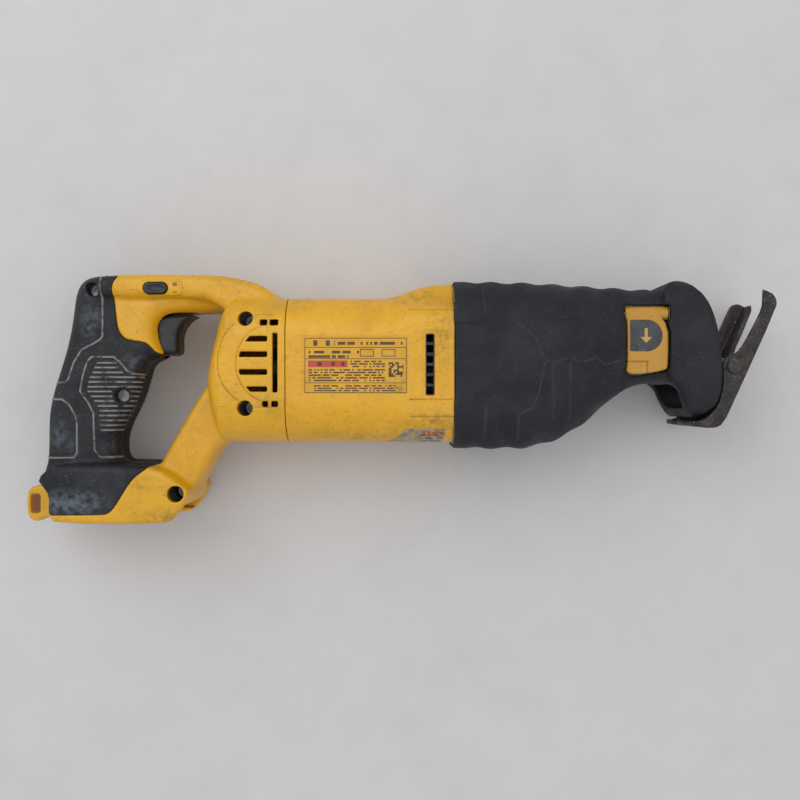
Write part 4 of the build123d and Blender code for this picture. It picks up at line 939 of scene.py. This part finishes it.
def plain_finish(name, colour, second, metallic, roughness, ior, size, stretch, depth):
    """Finish of one simple material: two close tones, painted shade in its crevices, an uneven gloss and its
    own grain.
    """
    material, tree, shader, place = new_finish(name, roughness, ior, metallic)
    mottle = patches(tree, place, max(size * 4, 2.5), 0.38, 0.66, stretch)
    c = tint(tree, mottle, colour, second)
    # Painted shade: crevices darkened towards near black
    c = tint(tree, edges(tree, 0.46, 0.40), c, "#1A1815", 0.6)
    tree.links.new(c, shader.inputs["Base Color"])
    gloss(tree, shader, patches(tree, place, 5, 0.4, 0.6, seed=2), roughness * 0.85, min(roughness * 1.3, 1))
    press(tree, shader, [(patches(tree, place, size, 0.3, 0.7, stretch, seed=3, detail=1), depth)])
    return material


def finish_for(slot, colours):
    """The material of a slot, made once."""
    made = bpy.data.materials.get(slot + "_finish")
    if made:
        return made
    hexes = {"yellow_plastic": lambda n: moulded_abs(n, colours.yellow),
             "ochre_plastic": lambda n: moulded_abs(n, colours.lever, 0.7),
             "black_rubber": lambda n: worn_rubber_with_sheen(n, colours.boot, "#2E3036", "#77746E", 0.75,
                                                    (0.54, 0.62), 0.14),
             "blackened_steel": lambda n: phosphated_steel(n, colours.shoe, "#4B4745", "#5E4436"),
             "label_film": printed_polyester, "sticker_film": foil_sticker, "badge_film": screen_badge}
    if slot in hexes:
        return hexes[slot](slot + "_finish")
    return plain_finish(slot + "_finish", *PLAIN_FINISHES[slot][1:])


def wear(piece, material):
    piece.data.materials.clear()
    piece.data.materials.append(material)


def soften_corners(piece, width):
    """Small rounded corners on a CAD node whose edges are seen."""
    weld = piece.modifiers.new("joined", "WELD")
    weld.merge_threshold = 1e-5
    bevel = piece.modifiers.new("corners", "BEVEL")
    bevel.width = width
    bevel.segments = 2
    bevel.limit_method = "ANGLE"
    bevel.angle_limit = math.radians(40)
    bevel.use_clamp_overlap = True


# ---- stage ---------------------------------------------------------------------------------
FLOOR_REACH = 3.0                # metres from the origin to each edge of the board
ROOM_LIGHT = 0.75                # strength of the light from all round
VIEW_SHIFT = (-0.4, -0.2)        # mm from the tool's middle to the point below the camera


def painted_board(colour):
    """Emulsion on board: matt and pale, with faint roller marks."""
    material, tree, shader, place = new_finish("emulsion_board", 0.75, 1.5)
    c = tint(tree, patches(tree, place, 260, 0.35, 0.65), list(colour) + [1.0], "#C9C7C6", 0.6)
    c = tint(tree, patches(tree, place, 30, 0.45, 0.7, seed=3), c, "#BFBDBB", 0.25)
    tree.links.new(c, shader.inputs["Base Color"])
    press(tree, shader, [(patches(tree, place, 5, 0.4, 0.6, seed=5), 0.06)])
    return material


def soft_light(name, place, aim, size, watts, colour):
    lamp = bpy.data.lights.new(name, "AREA")
    lamp.shape, lamp.size, lamp.energy, lamp.color = "DISK", size, watts, colour
    ob = bpy.data.objects.new(name, lamp)
    ob.location = place
    ob.rotation_euler = (Vector(aim) - Vector(place)).to_track_quat("-Z", "Y").to_euler()
    bpy.context.scene.collection.objects.link(ob)
    return ob


# ---- sizes and colours a user would change ---------------------------------------------------
class SawSizes(PropertyGroup):
    """Sizes of the moulded relief and of the view."""
    mesh_step: FloatProperty(name="Mesh step", description="Cell size of the handle's surface mesh",
                             default=0.00062, min=0.0004, max=0.002, unit="LENGTH")
    edge_round: FloatProperty(name="Edge rounding",
                              description="Rounded corner of the screws and small parts",
                              default=0.00025, min=0.0, max=0.001, unit="LENGTH")
    view_height: FloatProperty(name="View height", description="Camera height above the tool's parting plane",
                               default=0.62, min=0.3, max=3.0, unit="LENGTH")
    view_width: FloatProperty(name="View width", description="Width seen at the tool's parting plane",
                              default=0.4945, min=0.1, max=3.0, unit="LENGTH")


def colour_of(label, what, code, size=4):
    return FloatVectorProperty(name=label, description=what, subtype="COLOR", size=size, min=0, max=1,
                               default=linear(code)[:size])


class SawColours(PropertyGroup):
    """Base colours of the main finishes."""
    yellow: colour_of("Casing", "Colour of the moulded casings", "#DFA60A")
    lever: colour_of("Release lever", "Colour of the blade release lever", "#B9872A")
    boot: colour_of("Nose boot", "Colour of the rubber boot", "#15161A")
    grip: colour_of("Grip", "Colour of the grip's rubber", "#17181B")
    shoe: colour_of("Shoe", "Colour of the shoe's black coat", "#2C2A2A")
    floor: colour_of("Floor", "Colour of the board under the tool", "#CFCDCB", 3)


# ---- operators -------------------------------------------------------------------------------
class SAW_OT_inner_parts(Operator):
    """Give every part of the mechanism its finish and round the corners of those that are seen"""
    bl_idname = "saw.inner_parts"
    bl_label = "Inner parts"

    def execute(self, context):
        colours = context.scene.saw_colours
        for name, node in NODES.items():
            wear(node, finish_for(SLOT_OF[name], colours))
        wear(NODES["handle_screws"], finish_for("zinc_steel", colours))
        for name in ("handle_screws", "gear_case_screws", "lever_pin", "shoe_pivot_pin",
                     "clamp_collar", "blade_clamp_body", "clamp_snap_ring", "plunger", "lever_label"):
            soften_corners(NODES[name], context.scene.saw_sizes.edge_round)
        return {"FINISHED"}


class SAW_OT_handle(Operator):
    """Build both clamshell halves of the handle and their rubber skins"""
    bl_idname = "saw.handle"
    bl_label = "Handle"

    def execute(self, context):
        colours = context.scene.saw_colours
        spots = ((-190, -60, 26, 10, 1.6), (-186, 48, 8, 14, 1.1), (-205, -22, 9, 12, 0.9),
                 (-196, -30, 5, 9, 1.0), (-160, 22, 9, 7, 0.9), (-172, -28, 10, 7, 0.6))
        # The dust colour also paints the highlight on the grip's raised lines
        grip = worn_rubber_with_sheen("grip_rubber_finish", colours.grip, "#3C3F45", "#A5A39C", 0.9,
                           (0.53, 0.6), 0.75, spots)
        for shell, skin in build_handle(context.scene.saw_sizes.mesh_step / MM).values():
            wear(shell, finish_for("yellow_plastic", colours))
            wear(skin, grip)
        wear(build_tether_loop(), finish_for("yellow_plastic", colours))
        return {"FINISHED"}


class SAW_OT_trigger(Operator):
    """Build the speed trigger and the lock-off button"""
    bl_idname = "saw.trigger"
    bl_label = "Trigger and button"

    def execute(self, context):
        nylon = finish_for("black_plastic", context.scene.saw_colours)
        wear(build_trigger(), nylon)
        wear(build_lock_button(), nylon)
        return {"FINISHED"}


class SAW_OT_housing(Operator):
    """Build the motor housing and the remnant of its sticker"""
    bl_idname = "saw.housing"
    bl_label = "Motor housing"

    def execute(self, context):
        colours = context.scene.saw_colours
        wear(build_housing(), finish_for("yellow_plastic", colours))
        wear(build_sticker(), finish_for("sticker_film", colours))
        return {"FINISHED"}


class SAW_OT_boot(Operator):
    """Build the waved rubber boot and its bell"""
    bl_idname = "saw.boot"
    bl_label = "Nose boot"

    def execute(self, context):
        wear(build_boot(), finish_for("black_rubber", context.scene.saw_colours))
        return {"FINISHED"}


class SAW_OT_lever(Operator):
    """Build the blade release lever"""
    bl_idname = "saw.lever"
    bl_label = "Release lever"

    def execute(self, context):
        wear(build_lever(), finish_for("ochre_plastic", context.scene.saw_colours))
        return {"FINISHED"}


class SAW_OT_shoe(Operator):
    """Build the tilting shoe"""
    bl_idname = "saw.shoe"
    bl_label = "Shoe"

    def execute(self, context):
        wear(build_shoe(), finish_for("blackened_steel", context.scene.saw_colours))
        return {"FINISHED"}


class SAW_OT_stage(Operator):
    """Lay the floor, hang the lights and point the camera straight down"""
    bl_idname = "saw.stage"
    bl_label = "Floor, lights and camera"

    def execute(self, context):
        scene = context.scene
        sizes = scene.saw_sizes
        me = bpy.data.meshes.new("floor")
        r = FLOOR_REACH
        me.from_pydata([(-r, -r, 0), (r, -r, 0), (r, r, 0), (-r, r, 0)], [], [(0, 1, 2, 3)])
        floor = bpy.data.objects.new("floor", me)
        scene.collection.objects.link(floor)
        wear(floor, painted_board(scene.saw_colours.floor))
        lights = [soft_light("window", (-0.62, 0.70, 1.25), (0, 0, 0), 1.3, 6.0, (1.0, 0.985, 0.965)),
                  soft_light("ceiling", (0.35, 0.25, 1.6), (0, 0, 0), 1.6, 3.2, (0.97, 0.98, 1.0))]
        world = bpy.data.worlds.new("room")
        world.use_nodes = True
        world.node_tree.nodes["Background"].inputs[0].default_value = (0.93, 0.95, 1.0, 1)
        world.node_tree.nodes["Background"].inputs[1].default_value = ROOM_LIGHT
        scene.world = world
        lens = bpy.data.cameras.new("camera")
        lens.lens = lens.sensor_width * sizes.view_height / sizes.view_width
        camera = bpy.data.objects.new("camera", lens)
        camera.location = ((SHIFT[0] + VIEW_SHIFT[0]) * MM, (SHIFT[1] + VIEW_SHIFT[1]) * MM,
                           MID * MM + sizes.view_height)
        scene.collection.objects.link(camera)
        scene.camera = camera
        scene.view_settings.view_transform = "Standard"
        return {"FINISHED"}


class SAW_PT_sidebar(Panel):
    """Sizes, colours and the steps that build the saw"""
    bl_idname = "SAW_PT_sidebar"
    bl_label = "Reciprocating saw"
    bl_space_type = "VIEW_3D"
    bl_region_type = "UI"
    bl_category = "Saw"

    def draw(self, context):
        for group in (context.scene.saw_sizes, context.scene.saw_colours):
            box = self.layout.box()
            for key in group.__annotations__:
                box.prop(group, key)
        for step in STEPS:
            self.layout.operator(step.bl_idname)


STEPS = (SAW_OT_inner_parts, SAW_OT_handle, SAW_OT_trigger, SAW_OT_housing, SAW_OT_boot, SAW_OT_lever,
         SAW_OT_shoe, SAW_OT_stage)
CLASSES = (SawSizes, SawColours, *STEPS, SAW_PT_sidebar)


def register():
    for cls in CLASSES:
        bpy.utils.register_class(cls)
    bpy.types.Scene.saw_sizes = PointerProperty(type=SawSizes)
    bpy.types.Scene.saw_colours = PointerProperty(type=SawColours)


def unregister():
    del bpy.types.Scene.saw_colours
    del bpy.types.Scene.saw_sizes
    for cls in reversed(CLASSES):
        bpy.utils.unregister_class(cls)


def main():
    register()
    for step in STEPS:
        family, action = step.bl_idname.split(".")
        if getattr(getattr(bpy.ops, family), action)() != {"FINISHED"}:
            raise RuntimeError(step.bl_label + " was not built")


if __name__ == "__main__":
    main()
